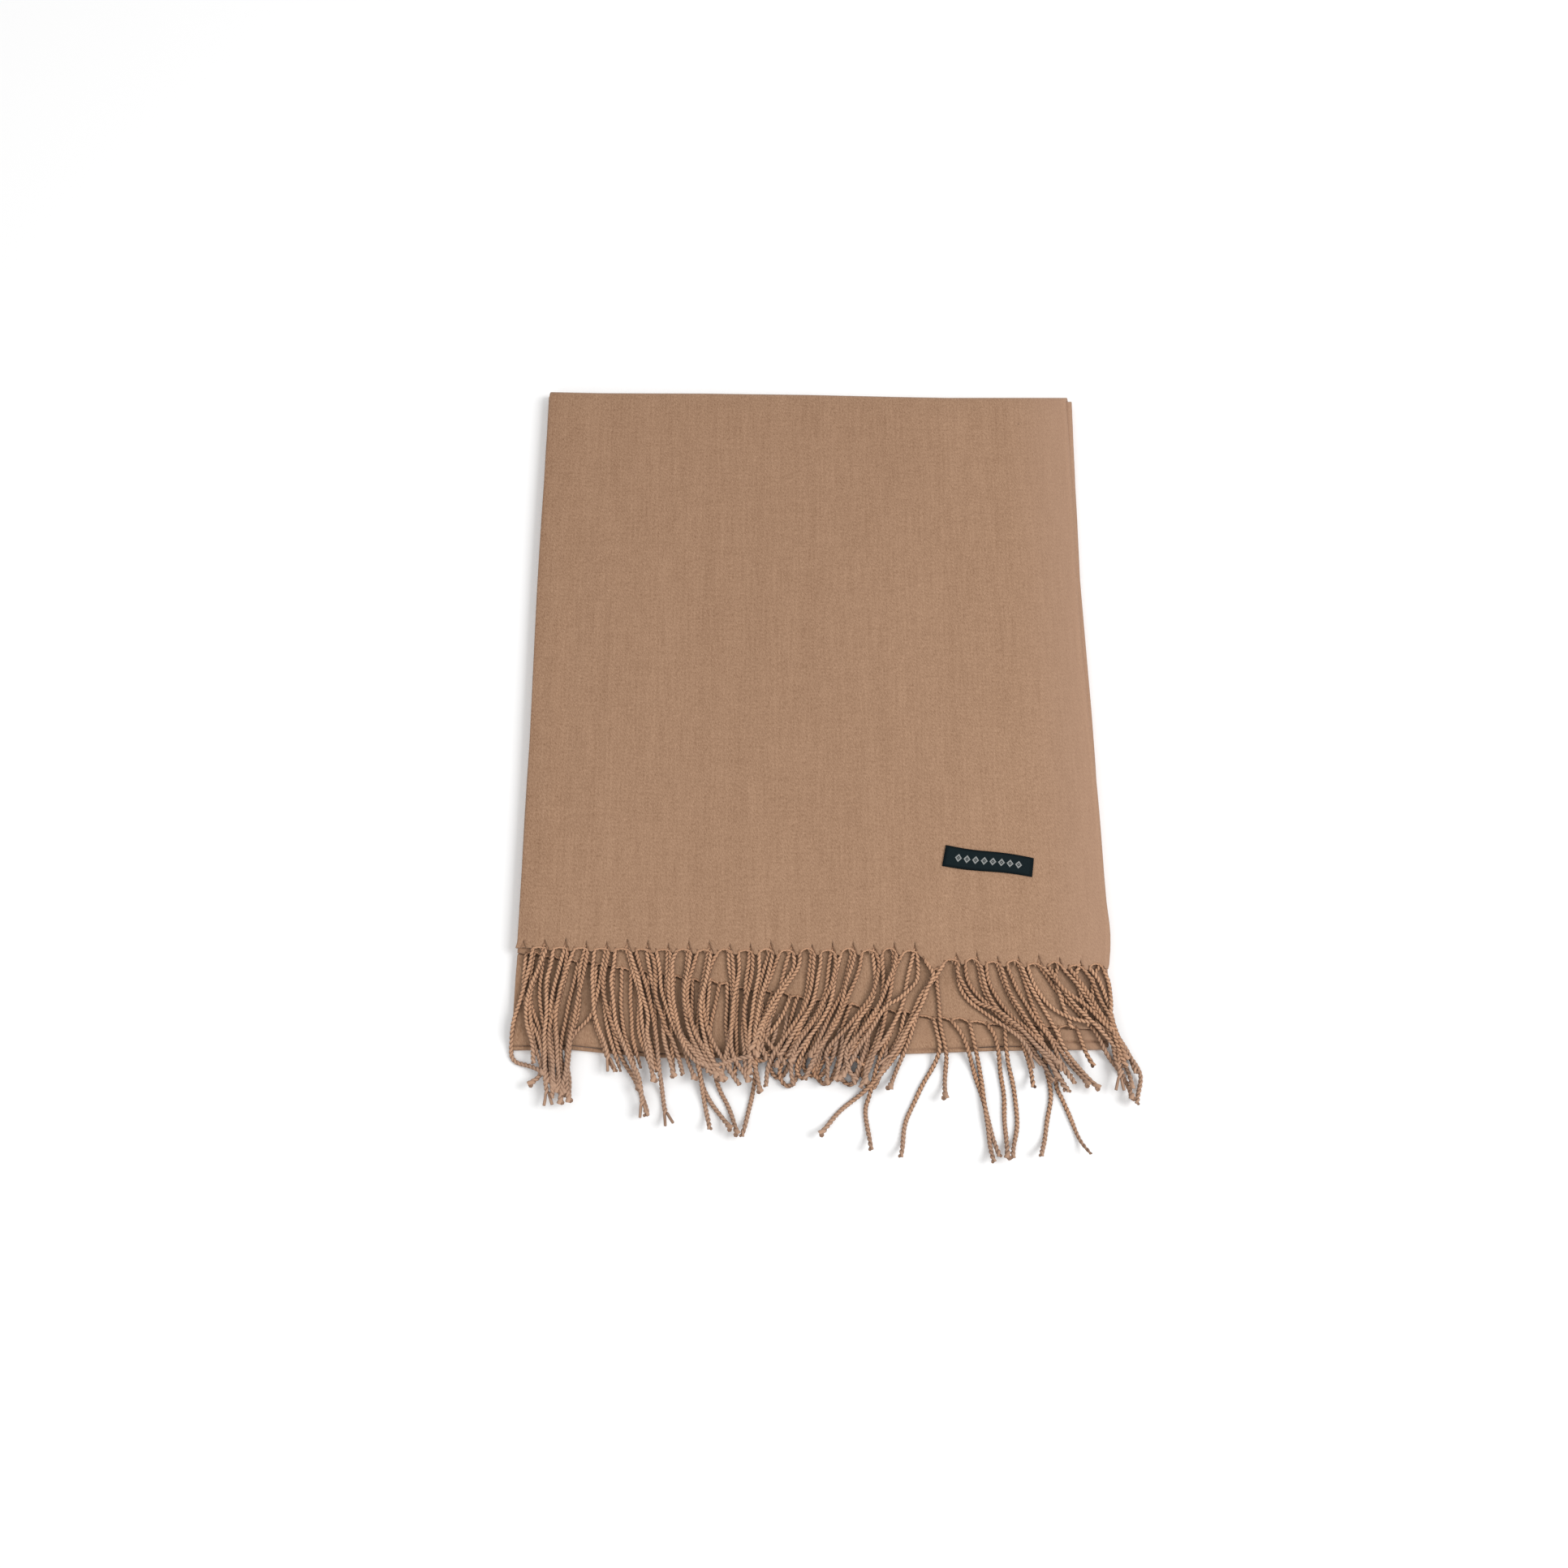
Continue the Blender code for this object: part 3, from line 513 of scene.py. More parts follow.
class Paint(Nodes):
    """A material's tree with one Principled shader. The constants are set on the shader's own sockets."""

    def __init__(self, name, **constants):
        self.material = bpy.data.materials.new(name)
        self.material.use_nodes = True
        super().__init__(self.material.node_tree)
        self.tree.nodes.clear()
        self.shader = self.node("ShaderNodeBsdfPrincipled", None, constants)
        self.node("ShaderNodeOutputMaterial", None, {"Surface": self.shader.outputs["BSDF"]})

    def place(self):
        return self.node("ShaderNodeTexCoord").outputs["Object"]

    def threads(self):
        """Metres across and along the cloth, from the piece's own UV map."""
        return self.node("ShaderNodeUVMap", {"uv_map": "threads"}).outputs["UV"]

    def attribute(self, name):
        """The number that the mesh keeps under this name at each of its points."""
        return self.value("ShaderNodeAttribute", {"attribute_name": name}, None, "Fac")

    def parts(self, vector):
        """The vector's x, y and z."""
        separate = self.node("ShaderNodeSeparateXYZ", None, {"Vector": vector})
        return [Value(self, socket) for socket in separate.outputs]

    def stretched(self, vector, scale):
        return self.node("ShaderNodeMapping", None, {"Vector": vector, "Scale": scale}).outputs["Vector"]

    def noise(self, vector, scale, detail):
        """Noise about zero, from about -0.5 to 0.5."""
        inputs = {"Vector": self.stretched(vector, scale), "Scale": 1.0, "Detail": detail}
        return self.value("ShaderNodeTexNoise", None, inputs) - 0.5

    def mixed(self, first, second, share):
        """This share of the second colour in the first, each given as a socket or as three numbers."""
        settings = {"data_type": "RGBA", "clamp_factor": True}
        inputs = {MIX_FACTOR: share}
        for key, colour in ((MIX_FIRST, first), (MIX_SECOND, second)):
            inputs[key] = (*colour, 1.0) if isinstance(colour, tuple) else colour
        return self.node("ShaderNodeMix", settings, inputs).outputs[MIX_RESULT]

    def finish(self, colour, roughness, height, bump_distance, bump_strength):
        self.tree.links.new(colour, self.shader.inputs["Base Color"])
        self.tree.links.new(roughness.socket, self.shader.inputs["Roughness"])
        inputs = {"Strength": bump_strength, "Distance": bump_distance, "Height": height}
        bump = self.node("ShaderNodeBump", None, inputs)
        self.tree.links.new(bump.outputs["Normal"], self.shader.inputs["Normal"])
        return self.material


# ---------------------------------------------------------------- finishes

CAMEL_DARK = (0.224, 0.120, 0.067)
CAMEL_LIGHT = (0.450, 0.278, 0.177)
# The colour of a painted highlight, rose in tint, for the cloth's rounded right edge
PAINTED_EDGE_HIGHLIGHT = (0.410, 0.252, 0.172)
CORD_DARK = (0.350, 0.183, 0.102)
CORD_LIGHT = (0.712, 0.426, 0.264)
CORD_DULL = (0.410, 0.275, 0.202)
# The colour of painted shade in a cord's grooves and down its sides
PAINTED_GROOVE_SHADE = (0.050, 0.020, 0.011)
SPECK = (0.12, 0.07, 0.045)
LABEL_BLACK = (0.002, 0.006, 0.008)
LABEL_GREEN = (0.008, 0.017, 0.020)
LABEL_PALE = (0.36, 0.37, 0.36)
FLOOR_DARK = (0.955, 0.955, 0.955)
FLOOR_LIGHT = (0.975, 0.975, 0.975)

# The weaves' lines, and where a cord's colour is darkened as painted shade: from its groove to its bulge,
# as distances from its axis, and from its sides to its top, as heights above its axis
TWILL_PITCH = 1.15 * MM
RIB_PITCH = 0.45 * MM
PICK_PITCH = 0.38 * MM
GROOVE_TO_BULGE = (0.66 * MM, 1.34 * MM)
SIDE_TO_TOP = (-0.10 * MM, 1.15 * MM)


def waves(value, pitch):
    """A sine of the value with this pitch."""
    return (value * (2 * math.pi / pitch)).sine()


def camel_twill():
    """Soft camel twill: fine steep diagonals, slubs both ways, a mottled nap and a few dark specks, with
    painted light and shade across it and a painted highlight along its right edge.
    """
    nap_sheen = {"Sheen Weight": 0.18, "Sheen Roughness": 0.45, "Specular IOR Level": 0.15}
    paint = Paint("camel_twill", **nap_sheen)
    threads = paint.threads()
    across, along, _ = paint.parts(threads)
    place_x, place_y, _ = paint.parts(paint.place())

    over = across * 0.91 - along * 0.42
    down = across * 0.42 + along * 0.91
    twill = waves(over, TWILL_PITCH)
    diagonal = paint.node("ShaderNodeCombineXYZ", None, {"X": over, "Y": down}).outputs["Vector"]
    dashes = paint.noise(diagonal, (1400.0, 460.0, 1.0), 2.0)
    slubs = paint.noise(threads, (700.0, 26.0, 1.0), 3.0)
    bands = paint.noise(threads, (90.0, 7.0, 1.0), 2.0)
    weft_slubs = paint.noise(threads, (24.0, 640.0, 1.0), 2.0)
    nap = paint.noise(threads, (1000.0, 850.0, 1.0), 3.0)
    mottle = paint.noise(threads, (150.0, 110.0, 1.0), 3.0)
    grain = dashes * 1.00 + nap * 1.00 + mottle * 0.26
    lines = slubs * 0.46 + bands * 0.22 + weft_slubs * 0.20 + twill * 0.03
    # Painted light: the cloth is painted darker towards the far fold and at the left fold, and lighter
    # towards the right, as the light falls
    painted_left_shade = (0.0 - place_x).rising(0.145, 0.178)
    painted_light = place_x.rising(-0.02, 0.15) * 0.06 - painted_left_shade * 0.08 - place_y * 0.24
    body = paint.mixed(CAMEL_DARK, CAMEL_LIGHT, 0.51 + grain + lines + painted_light)
    # A painted highlight, rose in tint, along the rounded right edge
    body = paint.mixed(body, PAINTED_EDGE_HIGHLIGHT, place_x.rising(0.125, 0.178) * 0.55)

    cells = paint.stretched(threads, (34.0, 30.0, 1.0))
    speck = paint.node("ShaderNodeTexVoronoi", None, {"Vector": cells, "Scale": 1.0})
    rare, _, _ = paint.parts(speck.outputs["Color"])
    specks = (Value(paint, speck.outputs["Distance"]) < 0.022) * (rare < 0.30)
    colour = paint.mixed(body, SPECK, specks * 0.6)

    height = twill * 0.35 + nap * 1.3 + slubs * 0.9 + dashes * 0.8
    return paint.finish(colour, 0.86 + nap * 0.1, height, 0.12 * MM, 0.5)


def camel_cord():
    """The fringe's twisted yarn, with fine fibres, and painted shade: light where a ply bulges, dark in the
    groove between two plies and down the cord's sides."""
    yarn_sheen = {"Sheen Weight": 0.15, "Sheen Roughness": 0.40, "Specular IOR Level": 0.15}
    paint = Paint("camel_cord", **yarn_sheen)
    place = paint.place()
    axis = paint.node("ShaderNodeAttribute", {"attribute_name": "axis"}).outputs["Vector"]
    dull = paint.attribute("dull")
    fibres = paint.noise(place, (1900.0, 1900.0, 1900.0), 2.0)
    patches = paint.noise(place, (120.0, 120.0, 120.0), 2.0)
    shade = 0.52 + fibres * 0.46 + patches * 0.34 + (paint.attribute("tint") - 0.5) * 0.34
    body = paint.mixed(paint.mixed(CORD_DARK, CORD_LIGHT, shade), CORD_DULL, dull * 0.65)

    # Painted shade: darker in the groove between two plies and down the cord's sides, lighter where a ply
    # bulges up
    outward = paint.value("ShaderNodeVectorMath", {"operation": "DISTANCE"}, {0: place, 1: axis}, "Value")
    ridge = outward.rising(*GROOVE_TO_BULGE)
    _, _, place_z = paint.parts(place)
    _, _, axis_z = paint.parts(axis)
    proud = (place_z - axis_z).rising(*SIDE_TO_TOP)
    depth = (1.0 - (0.46 + ridge * 0.54) * (0.08 + proud * 0.92)) * paint.attribute("grooved")
    colour = paint.mixed(body, PAINTED_GROOVE_SHADE, depth * (1.0 - dull * 0.45))
    return paint.finish(colour, 0.84 + fibres * 0.1, fibres, 0.18 * MM, 0.6)


def label_satin():
    """Dark green satin, blacker at its edges, with a row of pale woven lozenges."""
    paint = Paint("label_satin", **{"Specular IOR Level": 0.10})
    across, along, _ = paint.parts(paint.threads())
    ribs = waves(along, RIB_PITCH)
    picks = waves(across, PICK_PITCH)
    grain = paint.noise(paint.threads(), (900.0, 2200.0, 1.0), 2.0)

    in_cell = abs((across / LOZENGE_PITCH).fraction() - 0.5) * LOZENGE_PITCH
    reach = in_cell / LOZENGE_HALF_WIDTH + abs(along) / LOZENGE_HALF_DEPTH
    outline = (reach < 1.0) * (reach > 0.50)
    dots = reach < 0.20
    in_row = abs(across) < LOZENGES_EACH_SIDE * LOZENGE_PITCH
    motif = (outline + dots) * in_row

    at_ends = (abs(across) / (LABEL_WIDTH / 2)).rising(0.90, 0.99)
    at_sides = (abs(along) / (LABEL_DEPTH / 2)).rising(0.70, 0.95)
    shade = 0.50 + grain * 0.9 + ribs * 0.18 - (at_ends + at_sides) * 0.8
    ground = paint.mixed(LABEL_BLACK, LABEL_GREEN, shade)
    colour = paint.mixed(ground, LABEL_PALE, motif * (0.74 + picks * 0.16))
    return paint.finish(colour, 0.70 + grain * 0.2, ribs * 0.5 + picks * 0.3 + motif * 1.2, 0.10 * MM, 0.6)


def pale_floor():
    """Plain matt white, very faintly clouded."""
    paint = Paint("pale_floor", **{"Specular IOR Level": 0.1})
    cloudy = paint.noise(paint.place(), (1.2, 1.2, 1.2), 2.0)
    colour = paint.mixed(FLOOR_DARK, FLOOR_LIGHT, 0.5 + cloudy)
    return paint.finish(colour, 0.8 + cloudy * 0.05, cloudy, 0.02 * MM, 0.1)


# ---------------------------------------------------------------- edges, distances and relief

def along_edge(line, place):
    """The edge's value at these places, read from a line of (place, value) pairs in millimetres."""
    places, values = zip(*line)
    return np.interp(np.asarray(place) / MM, places, values) * MM


def edge_y(line, x):
    """The y of a hem or a crosswise fold at x."""
    return UPPER_HEM_PLACE + along_edge(line, x)


def edge_x(line, y):
    """The x of a right edge at y."""
    return along_edge(line, np.asarray(y) - UPPER_HEM_PLACE)


def relief(x, y):
    """How far the top of the stack stands proud of flat, with its swells, soft creases and pinched lip."""
    rise = SWELL * np.sin(19 * x + 3 * np.sin(7 * y)) * np.sin(13 * y + 1.3)
    for crease in CREASES:
        start = np.array(crease.start) * MM + (0, UPPER_HEM_PLACE)
        end = np.array(crease.end) * MM + (0, UPPER_HEM_PLACE)
        ahead = end - start
        length = np.hypot(*ahead)
        share = ((x - start[0]) * ahead[0] + (y - start[1]) * ahead[1]) / length**2
        aside = ((x - start[0]) * ahead[1] - (y - start[1]) * ahead[0]) / length
        aside = aside + CREASE_WANDER * np.sin(23 * y + crease.width)
        fade = np.clip(share * 4, 0, 1) * np.clip((1 - share) * 4, 0, 1)
        rise = rise + crease.height * MM * fade * np.exp(-(aside / (crease.width * MM))**2)
    to_lip = edge_y(NEAR_FOLD, x) + along_edge(LIP, x) - y
    groove = np.exp(-((to_lip - LIP_EDGE) / GROOVE_WIDTH)**2)
    return rise - LIP_DROP * eased(to_lip / LIP_EDGE) - GROOVE_DEPTH * groove


def eased(share):
    """0 up to 0, 1 from 1 on and a smooth rise between."""
    share = np.clip(share, 0, 1)
    return share**2 * (3 - 2 * share)


def distances(points):
    """The distance along the points to each of them."""
    return np.concatenate([[0.0], np.cumsum(np.linalg.norm(np.diff(points, axis=0), axis=1))])


def puff(x, y):
    """How far the cloth in front of the lower hem is puffed up."""
    from_lip = y - edge_y(NEAR_FOLD, x) - along_edge(LIP, x)
    to_hem = edge_y(LOWER_HEM, x) + PUFF_END - y
    return PUFF * eased(from_lip / PUFF_REACH) * eased(to_hem / PUFF_DROP)


def hem_shift(hem, x, inside):
    """How far y departs from the hem's line at x, this far inside its edge: up in an arch between two
    cords, down a little between the close cords of a pair, and down in a tongue where two cords are pulled
    into one."""
    x = np.asarray(x)
    places = np.array(places_of(hem.roots))
    after = np.clip(np.searchsorted(places, x), 1, len(places) - 1)
    span = places[after] - places[after - 1]
    share = np.clip((x - places[after - 1]) / span, 0, 1)
    uneven = 0.85 + 0.25 * np.sin(places[after] * 777)
    rise = np.where(span > WIDE_GAP, along_edge(hem.rise, x) * uneven, -PAIR_DROP)
    shift = rise * np.sin(math.pi * share)**0.7 * math.exp(-inside / ARCH_FADE)
    for tongue in hem.tongues:
        share = np.clip(1 - np.abs(x - tongue.place * MM) / (tongue.reach * MM), 0, 1)
        shift = shift - tongue.depth * MM * share**1.2 * math.exp(-inside / TONGUE_FADE)
    return shift


def places_of(roots):
    """The places along a hem from which strands hang."""
    places = [roots.first]
    for step in cycle(roots.steps):
        if places[-1] + step > roots.last:
            return [place * MM for place in places]
        places.append(places[-1] + step)


# ---------------------------------------------------------------- the cloth

# A row of the sheet across the cloth: its line in plan, the height of the pair's middle, how far the cloth
# has turned round the crosswise folds, which right edge it keeps to (0 the upper end's, 1 the lower
# layers'), and its distance from the upper hem and from the lower one, where it is near them
Row = namedtuple("Row", "line height lean edge from_upper from_lower")
FAR_AWAY = 1.0
MEASURED_ROW = 30
FOLD_STEPS = 6
SWAY_SEED = 5


def cloth_columns():
    """The U of the cloth, from the right selvage over the top, round the lengthwise fold and back
    underneath: each column's place in x, which way it faces, and whether a slit of the hem opens at it."""
    span = -LEFT - LAST_COLUMN_FROM_SELVAGE - FIRST_SLIT

    def panel(a_slit, turn, slits):
        step = SLIT_PITCH / a_slit
        flat = [
            (FIRST_SLIT + i * step, turn, slits and i % a_slit == 0 and i // a_slit not in CLOSED_SLITS)
            for i in range(int(span / step) + 1)
        ]
        return [*flat, (-LEFT, turn, False)]

    axis = LEFT + PAIR / 2
    fold = [
        (axis + math.cos(turn) * LAYER / 2, turn, False)
        for turn in (math.pi / 2 + math.pi * i / FOLD_STEPS for i in range(FOLD_STEPS + 1))
    ]
    top = panel(TOP_COLUMNS_A_SLIT, math.pi / 2, True)
    return top[::-1] + fold + panel(UNDER_COLUMNS_A_SLIT, -math.pi / 2, False)


def cloth_rows():
    """The rows from the upper hem round the folds to the lower hem."""
    rows = []
    wrap = UPPER_MIDDLE - FOLD_HEIGHT
    near_turn = (INNER_MIDDLE - LOWEST_MIDDLE) / 2
    inner_turn = (LOWER_MIDDLE - INNER_MIDDLE) / 2
    near_outside = INNER_MIDDLE / 2 + LOWEST_MIDDLE / 2

    def upper_hem(x):
        return edge_y(UPPER_HEM, x)

    def lower_hem(x):
        return edge_y(LOWER_HEM, x)

    def far_axis(x):
        return edge_y(FAR_FOLD, x) - FOLD_HEIGHT

    def near_axis(x):
        return edge_y(NEAR_FOLD, x) + near_outside

    def beside(line, distance):
        return lambda x: line(x) + distance

    def flat(start, end, shares, height, lean, edges):
        for share in shares:
            edge = edges[0] + (edges[1] - edges[0]) * share

            def between(x, s=share):
                return start(x) * (1 - s) + end(x) * s

            rows.append(Row(between, height, lean, edge, FAR_AWAY, FAR_AWAY))

    def turned(axis, height, radius, leans, side, edges):
        for i, lean in enumerate(leans):
            reach = side * radius * math.sin(lean)
            edge = edges[0] + (edges[1] - edges[0]) * i / (len(leans) - 1)
            at = height + side * radius * math.cos(lean)
            rows.append(Row(beside(axis, reach), at, lean, edge, FAR_AWAY, FAR_AWAY))

    # The upper end, from its hem to the far fold and round it
    from_hem = np.array((0, 0.9, 1.9, 3.0, 4.4, 6.0, 8.4, 11.5, 15.5, 20.5, 27.0)) * MM
    for distance in from_hem:
        rows.append(Row(beside(upper_hem, distance), UPPER_MIDDLE, 0.0, 0.0, distance, FAR_AWAY))
    flat(beside(upper_hem, from_hem[-1]), far_axis, np.linspace(0, 1, 26)[1:-1], UPPER_MIDDLE, 0.0, (0, 0))
    turned(far_axis, FOLD_HEIGHT, wrap, np.linspace(0, math.pi, 8), 1, (0, 1))

    # The lowest layers, and round the near fold
    flat(far_axis, near_axis, np.linspace(0, 1, 7)[1:-1], LOWEST_MIDDLE, math.pi, (1, 1))
    turned(near_axis, near_outside, near_turn, np.linspace(math.pi, 2 * math.pi, 8), 1, (1, 1))

    # The layers on them: finely stepped where they show in front of the lower hem, and coarsely behind it
    from_fold = np.array((0.3, 0.7, 1.1, 1.6, 2.2, 2.8, 3.3, 3.8, 4.4, 5.2)) * MM
    under_hem = np.array((-1.0, -0.6, -0.1, 0.6, 2.5)) * MM
    strip = (beside(near_axis, from_fold[-1]), beside(lower_hem, under_hem[0]))
    for distance in from_fold:
        rows.append(Row(beside(near_axis, distance), INNER_MIDDLE, 2 * math.pi, 1.0, FAR_AWAY, FAR_AWAY))
    flat(*strip, (0.25, 0.5, 0.75), INNER_MIDDLE, 2 * math.pi, (1, 1))
    for distance in under_hem:
        rows.append(Row(beside(lower_hem, distance), INNER_MIDDLE, 2 * math.pi, 1.0, FAR_AWAY, FAR_AWAY))
    inner = (beside(lower_hem, under_hem[-1]), far_axis)
    flat(*inner, np.linspace(0, 1, 6)[1:-1], INNER_MIDDLE, 2 * math.pi, (1, 1))

    # Round inside the far fold, and the lower end out to its hem
    inner_middle = (INNER_MIDDLE + LOWER_MIDDLE) / 2
    turned(far_axis, inner_middle, inner_turn, np.linspace(2 * math.pi, math.pi, 6), -1, (1, 1))
    to_hem = np.array((60.0, 45.0, 33.0, 24.0, 17.0, 12.0, 8.0, 5.0, 3.0, 1.4, 0.0)) * MM
    flat(far_axis, beside(lower_hem, to_hem[0]), np.linspace(0, 1, 14)[1:-1], LOWER_MIDDLE, math.pi, (1, 1))
    for distance in to_hem:
        rows.append(Row(beside(lower_hem, distance), LOWER_MIDDLE, math.pi, 1.0, FAR_AWAY, distance))
    return rows


def slit_push(place, inside, slit, order):
    """How far the slits push each column aside, this far inside the hem, how far each slit opens, and how
    much the cloth puckers at it."""
    nearest = FIRST_SLIT + np.rint((place - FIRST_SLIT) / SLIT_PITCH) * SLIT_PITCH
    aside = place - nearest
    uneven = 0.85 + 0.30 * np.sin(nearest * 900)
    height = SLIT_HEIGHT * (0.90 + 0.20 * np.sin(nearest * 1700))
    closed = np.isin(np.rint((place - FIRST_SLIT) / SLIT_PITCH), CLOSED_SLITS)
    widest = np.where(closed, 0, SLIT_HALF_WIDTH * uneven * np.clip(1 - inside / height, 0, 1)**1.5)
    push = widest * (1 - np.abs(aside) / (SLIT_PITCH / 2))
    pucker = np.exp(-(aside / PUCKER_WIDTH)**2) * math.exp(-inside / PUCKER_LENGTH) * uneven
    return np.where(slit, -order, np.sign(aside)) * push, np.where(slit, push, 0), pucker


def cloth_points():
    """The sheet's points by row and column, how far aside each is pushed where a slit opens, and the distance
    along the sheet to each row."""
    rows = cloth_rows()
    place, turn, slit = (np.array(values) for values in zip(*cloth_columns()))
    order = np.sign(np.diff(place, append=place[-1] + 1))
    outer = np.clip((place + LEFT + RIGHT_STRETCH) / RIGHT_STRETCH, 0, 1)**2
    at_fold = np.clip((LEFT + LEFT_STRETCH - place) / LEFT_STRETCH, 0, 1)**2
    chance = random.Random(SWAY_SEED)
    phases = [chance.uniform(0, 6) for _ in range(6)]
    top = turn > 0

    def sway(at, slow, fast, phase):
        return np.sin(slow * at + phases[phase]) + np.sin(fast * at + phases[phase + 1])

    points = np.zeros((len(rows), len(place), 3))
    opened = np.zeros((len(rows), len(place)))
    middle = len(place) // 3
    run = 0.0
    runs = []
    for i, row in enumerate(rows):
        offset = np.sin(turn) * LAYER / 2
        y = row.line(place) + offset * math.sin(row.lean)
        z = row.height + offset * math.cos(row.lean)
        right = edge_x(UPPER_RIGHT, y) * (1 - row.edge) + edge_x(LOWER_RIGHT, y) * row.edge
        side_sway = np.where(top, SIDE_SWAY * sway(run, 9, 31, 0), UNDER_SWAY * sway(run, 11, 27, 2))
        x = place + (right + LEFT) * outer + side_sway * outer + at_fold * SIDE_SWAY * sway(run, 8, 23, 4)
        if row.edge:
            x = x - at_fold * STAND_OUT * eased((STAND_OUT_FROM - y) / STAND_OUT_OVER)

        if row.from_upper < FAR_AWAY:
            push, opening, pucker = slit_push(place, row.from_upper, slit, order)
            opened[i] = opening * order
            x = x + np.where(top, push, 0)
            z = z - PUCKER_DEPTH * np.where(top, pucker, 0)
            y = y + hem_shift(UPPER, x, row.from_upper) + np.where(top, 0, BACK_RECESS)
            z = z + BACK_LIFT * np.where(top, 0, math.exp(-row.from_upper / PUCKER_LENGTH))
        if row.from_lower < FAR_AWAY:
            y = y + hem_shift(LOWER, x, row.from_lower) + np.where(top, BACK_RECESS, 0)
        z = z + relief(x, y) * np.clip(z / UPPER_TOP, 0, 1)
        if row.height == INNER_MIDDLE:
            z = z + puff(x, y)
        points[i] = np.stack([x, y, z], axis=1)
        if i:
            run += float(np.linalg.norm(points[i, middle] - points[i - 1, middle]))
        runs.append(run)
    return points, opened, runs


def make_cloth(material):
    """The whole folded length as one sheet with a wall. Where a slit opens, each side of it has its own
    vertex."""
    points, opened, along = cloth_points()
    across = distances(points[MEASURED_ROW])
    bm = bmesh.new()
    grid = [[bm.verts.new(point) for point in line] for line in points]
    split = {}
    for i, j in zip(*np.nonzero(abs(opened) > LEAST_OPENING)):
        split[i, j] = bm.verts.new(points[i, j] + (2 * opened[i, j], 0, 0))
    uv_layer = bm.loops.layers.uv.new("threads")
    for i in range(len(along) - 1):
        for j in range(len(across) - 1):
            corners = ((i, j, True), (i, j + 1, False), (i + 1, j + 1, False), (i + 1, j, True))
            face = bm.faces.new([
                split.get((r, c), grid[r][c]) if leaving else grid[r][c] for r, c, leaving in corners
            ])
            for loop, (r, c, _) in zip(face.loops, corners):
                loop[uv_layer].uv = (across[c], along[r])
    return walled(new_piece("folded_cloth", bm, material), SHOWN_WALL)


# ---------------------------------------------------------------- the fringe

def smooth_path(points):
    """A Catmull-Rom curve through the points, as many points along it, and the distance to each."""
    ends = [2 * points[0] - points[1], *points, 2 * points[-1] - points[-2]]
    fine = []
    for a, b, c, d in zip(ends, ends[1:], ends[2:], ends[3:]):
        for t in np.linspace(0.0, 1.0, CURVE_PARTS, endpoint=False):
            bend = (2 * a - 5 * b + 4 * c - d) * t**2 + (3 * b - a - 3 * c + d) * t**3
            fine.append(b + ((c - a) * t + bend) / 2)
    fine = np.array([*fine, points[-1]])
    return fine, distances(fine)


def resampled(fine, run, length, step):
    """Points at even steps along the first length of the curve, and the distance to each."""
    at = np.linspace(0, length, max(4, round(length / step)))
    return np.stack([np.interp(at, run, column) for column in fine.T], axis=1), at


def swayed(fine, run, sways, chance):
    """The path, swung gently from side to side, from nothing at its root."""
    ahead = np.gradient(fine, axis=0)
    aside = np.stack([-ahead[:, 1], ahead[:, 0]], axis=1) / np.hypot(*ahead.T)[:, None]
    swing = np.zeros(len(run))
    for sway in sways:
        reach = chance.uniform(*sway.reach) * MM
        swing += reach * np.sin(run / (chance.uniform(*sway.wave) * MM) + chance.uniform(0, 2 * math.pi))
    return fine + aside * (swing * (1 - np.exp(-run / SWAY_OVER)))[:, None]


def strand_route(root, fringe, chance):
    """The strand's points in plan, from inside its hem, along its own route or past its lock's stations,
    the distance to each, and how it ends."""
    lock = next(lock for lock in fringe.locks if lock.start * MM <= root < lock.end * MM)
    route = next((route for route in fringe.routes if abs(route.root * MM - root) < SAME_ROOT), None)
    hem = edge_y(fringe.hem.line, root)
    edge = hem + float(hem_shift(fringe.hem, root, 0))
    length = lock.length * MM + chance.uniform(-1, 1) * LENGTH_SPREAD
    tip = chance.choice(USUAL_TIPS)
    points = [np.array((root, edge))]
    if route:
        points += [np.array(point) * MM + (0, UPPER_HEM_PLACE) for point in route.points]
        seen = sum(np.hypot(*(b - a)) for a, b in zip(points, points[1:]))
        ahead = points[-1] - points[-2]
        if route.tip:
            length = seen
            tip = route.tip
        elif seen < length:
            points.append(points[-1] + ahead / np.hypot(*ahead) * (length - seen))
        sways = ROUTE_SWAYS
    else:
        middle = (lock.start + lock.end) / 2 * MM
        stretch = chance.uniform(1 - lock.short, LONGEST_REACH)
        for drift, depth, spread in lock.stations:
            x = middle + drift * MM + (root - middle) * spread + chance.uniform(-1, 1) * STATION_SPREAD
            y = hem - STRIP_DEPTH - depth * stretch * MM + chance.uniform(-1, 1) * STATION_SPREAD
            points.append(np.array((x, y)))
        sways = LOCK_SWAYS
    fine, run = smooth_path(points)
    fine = swayed(fine, run, sways, chance)
    length = min(length, run[-1])
    fine = np.concatenate([[(root, edge + fringe.tuck)], fine])
    run = np.concatenate([[0.0], run + fringe.tuck])
    points, run = resampled(fine, run, length + fringe.tuck, ROUTE_STEP)
    if not route and points[-1][1] > edge_y(NEAR_FOLD, points[-1][0]) + COVERED_FROM:
        tip = "covered"
    return points, run, tip


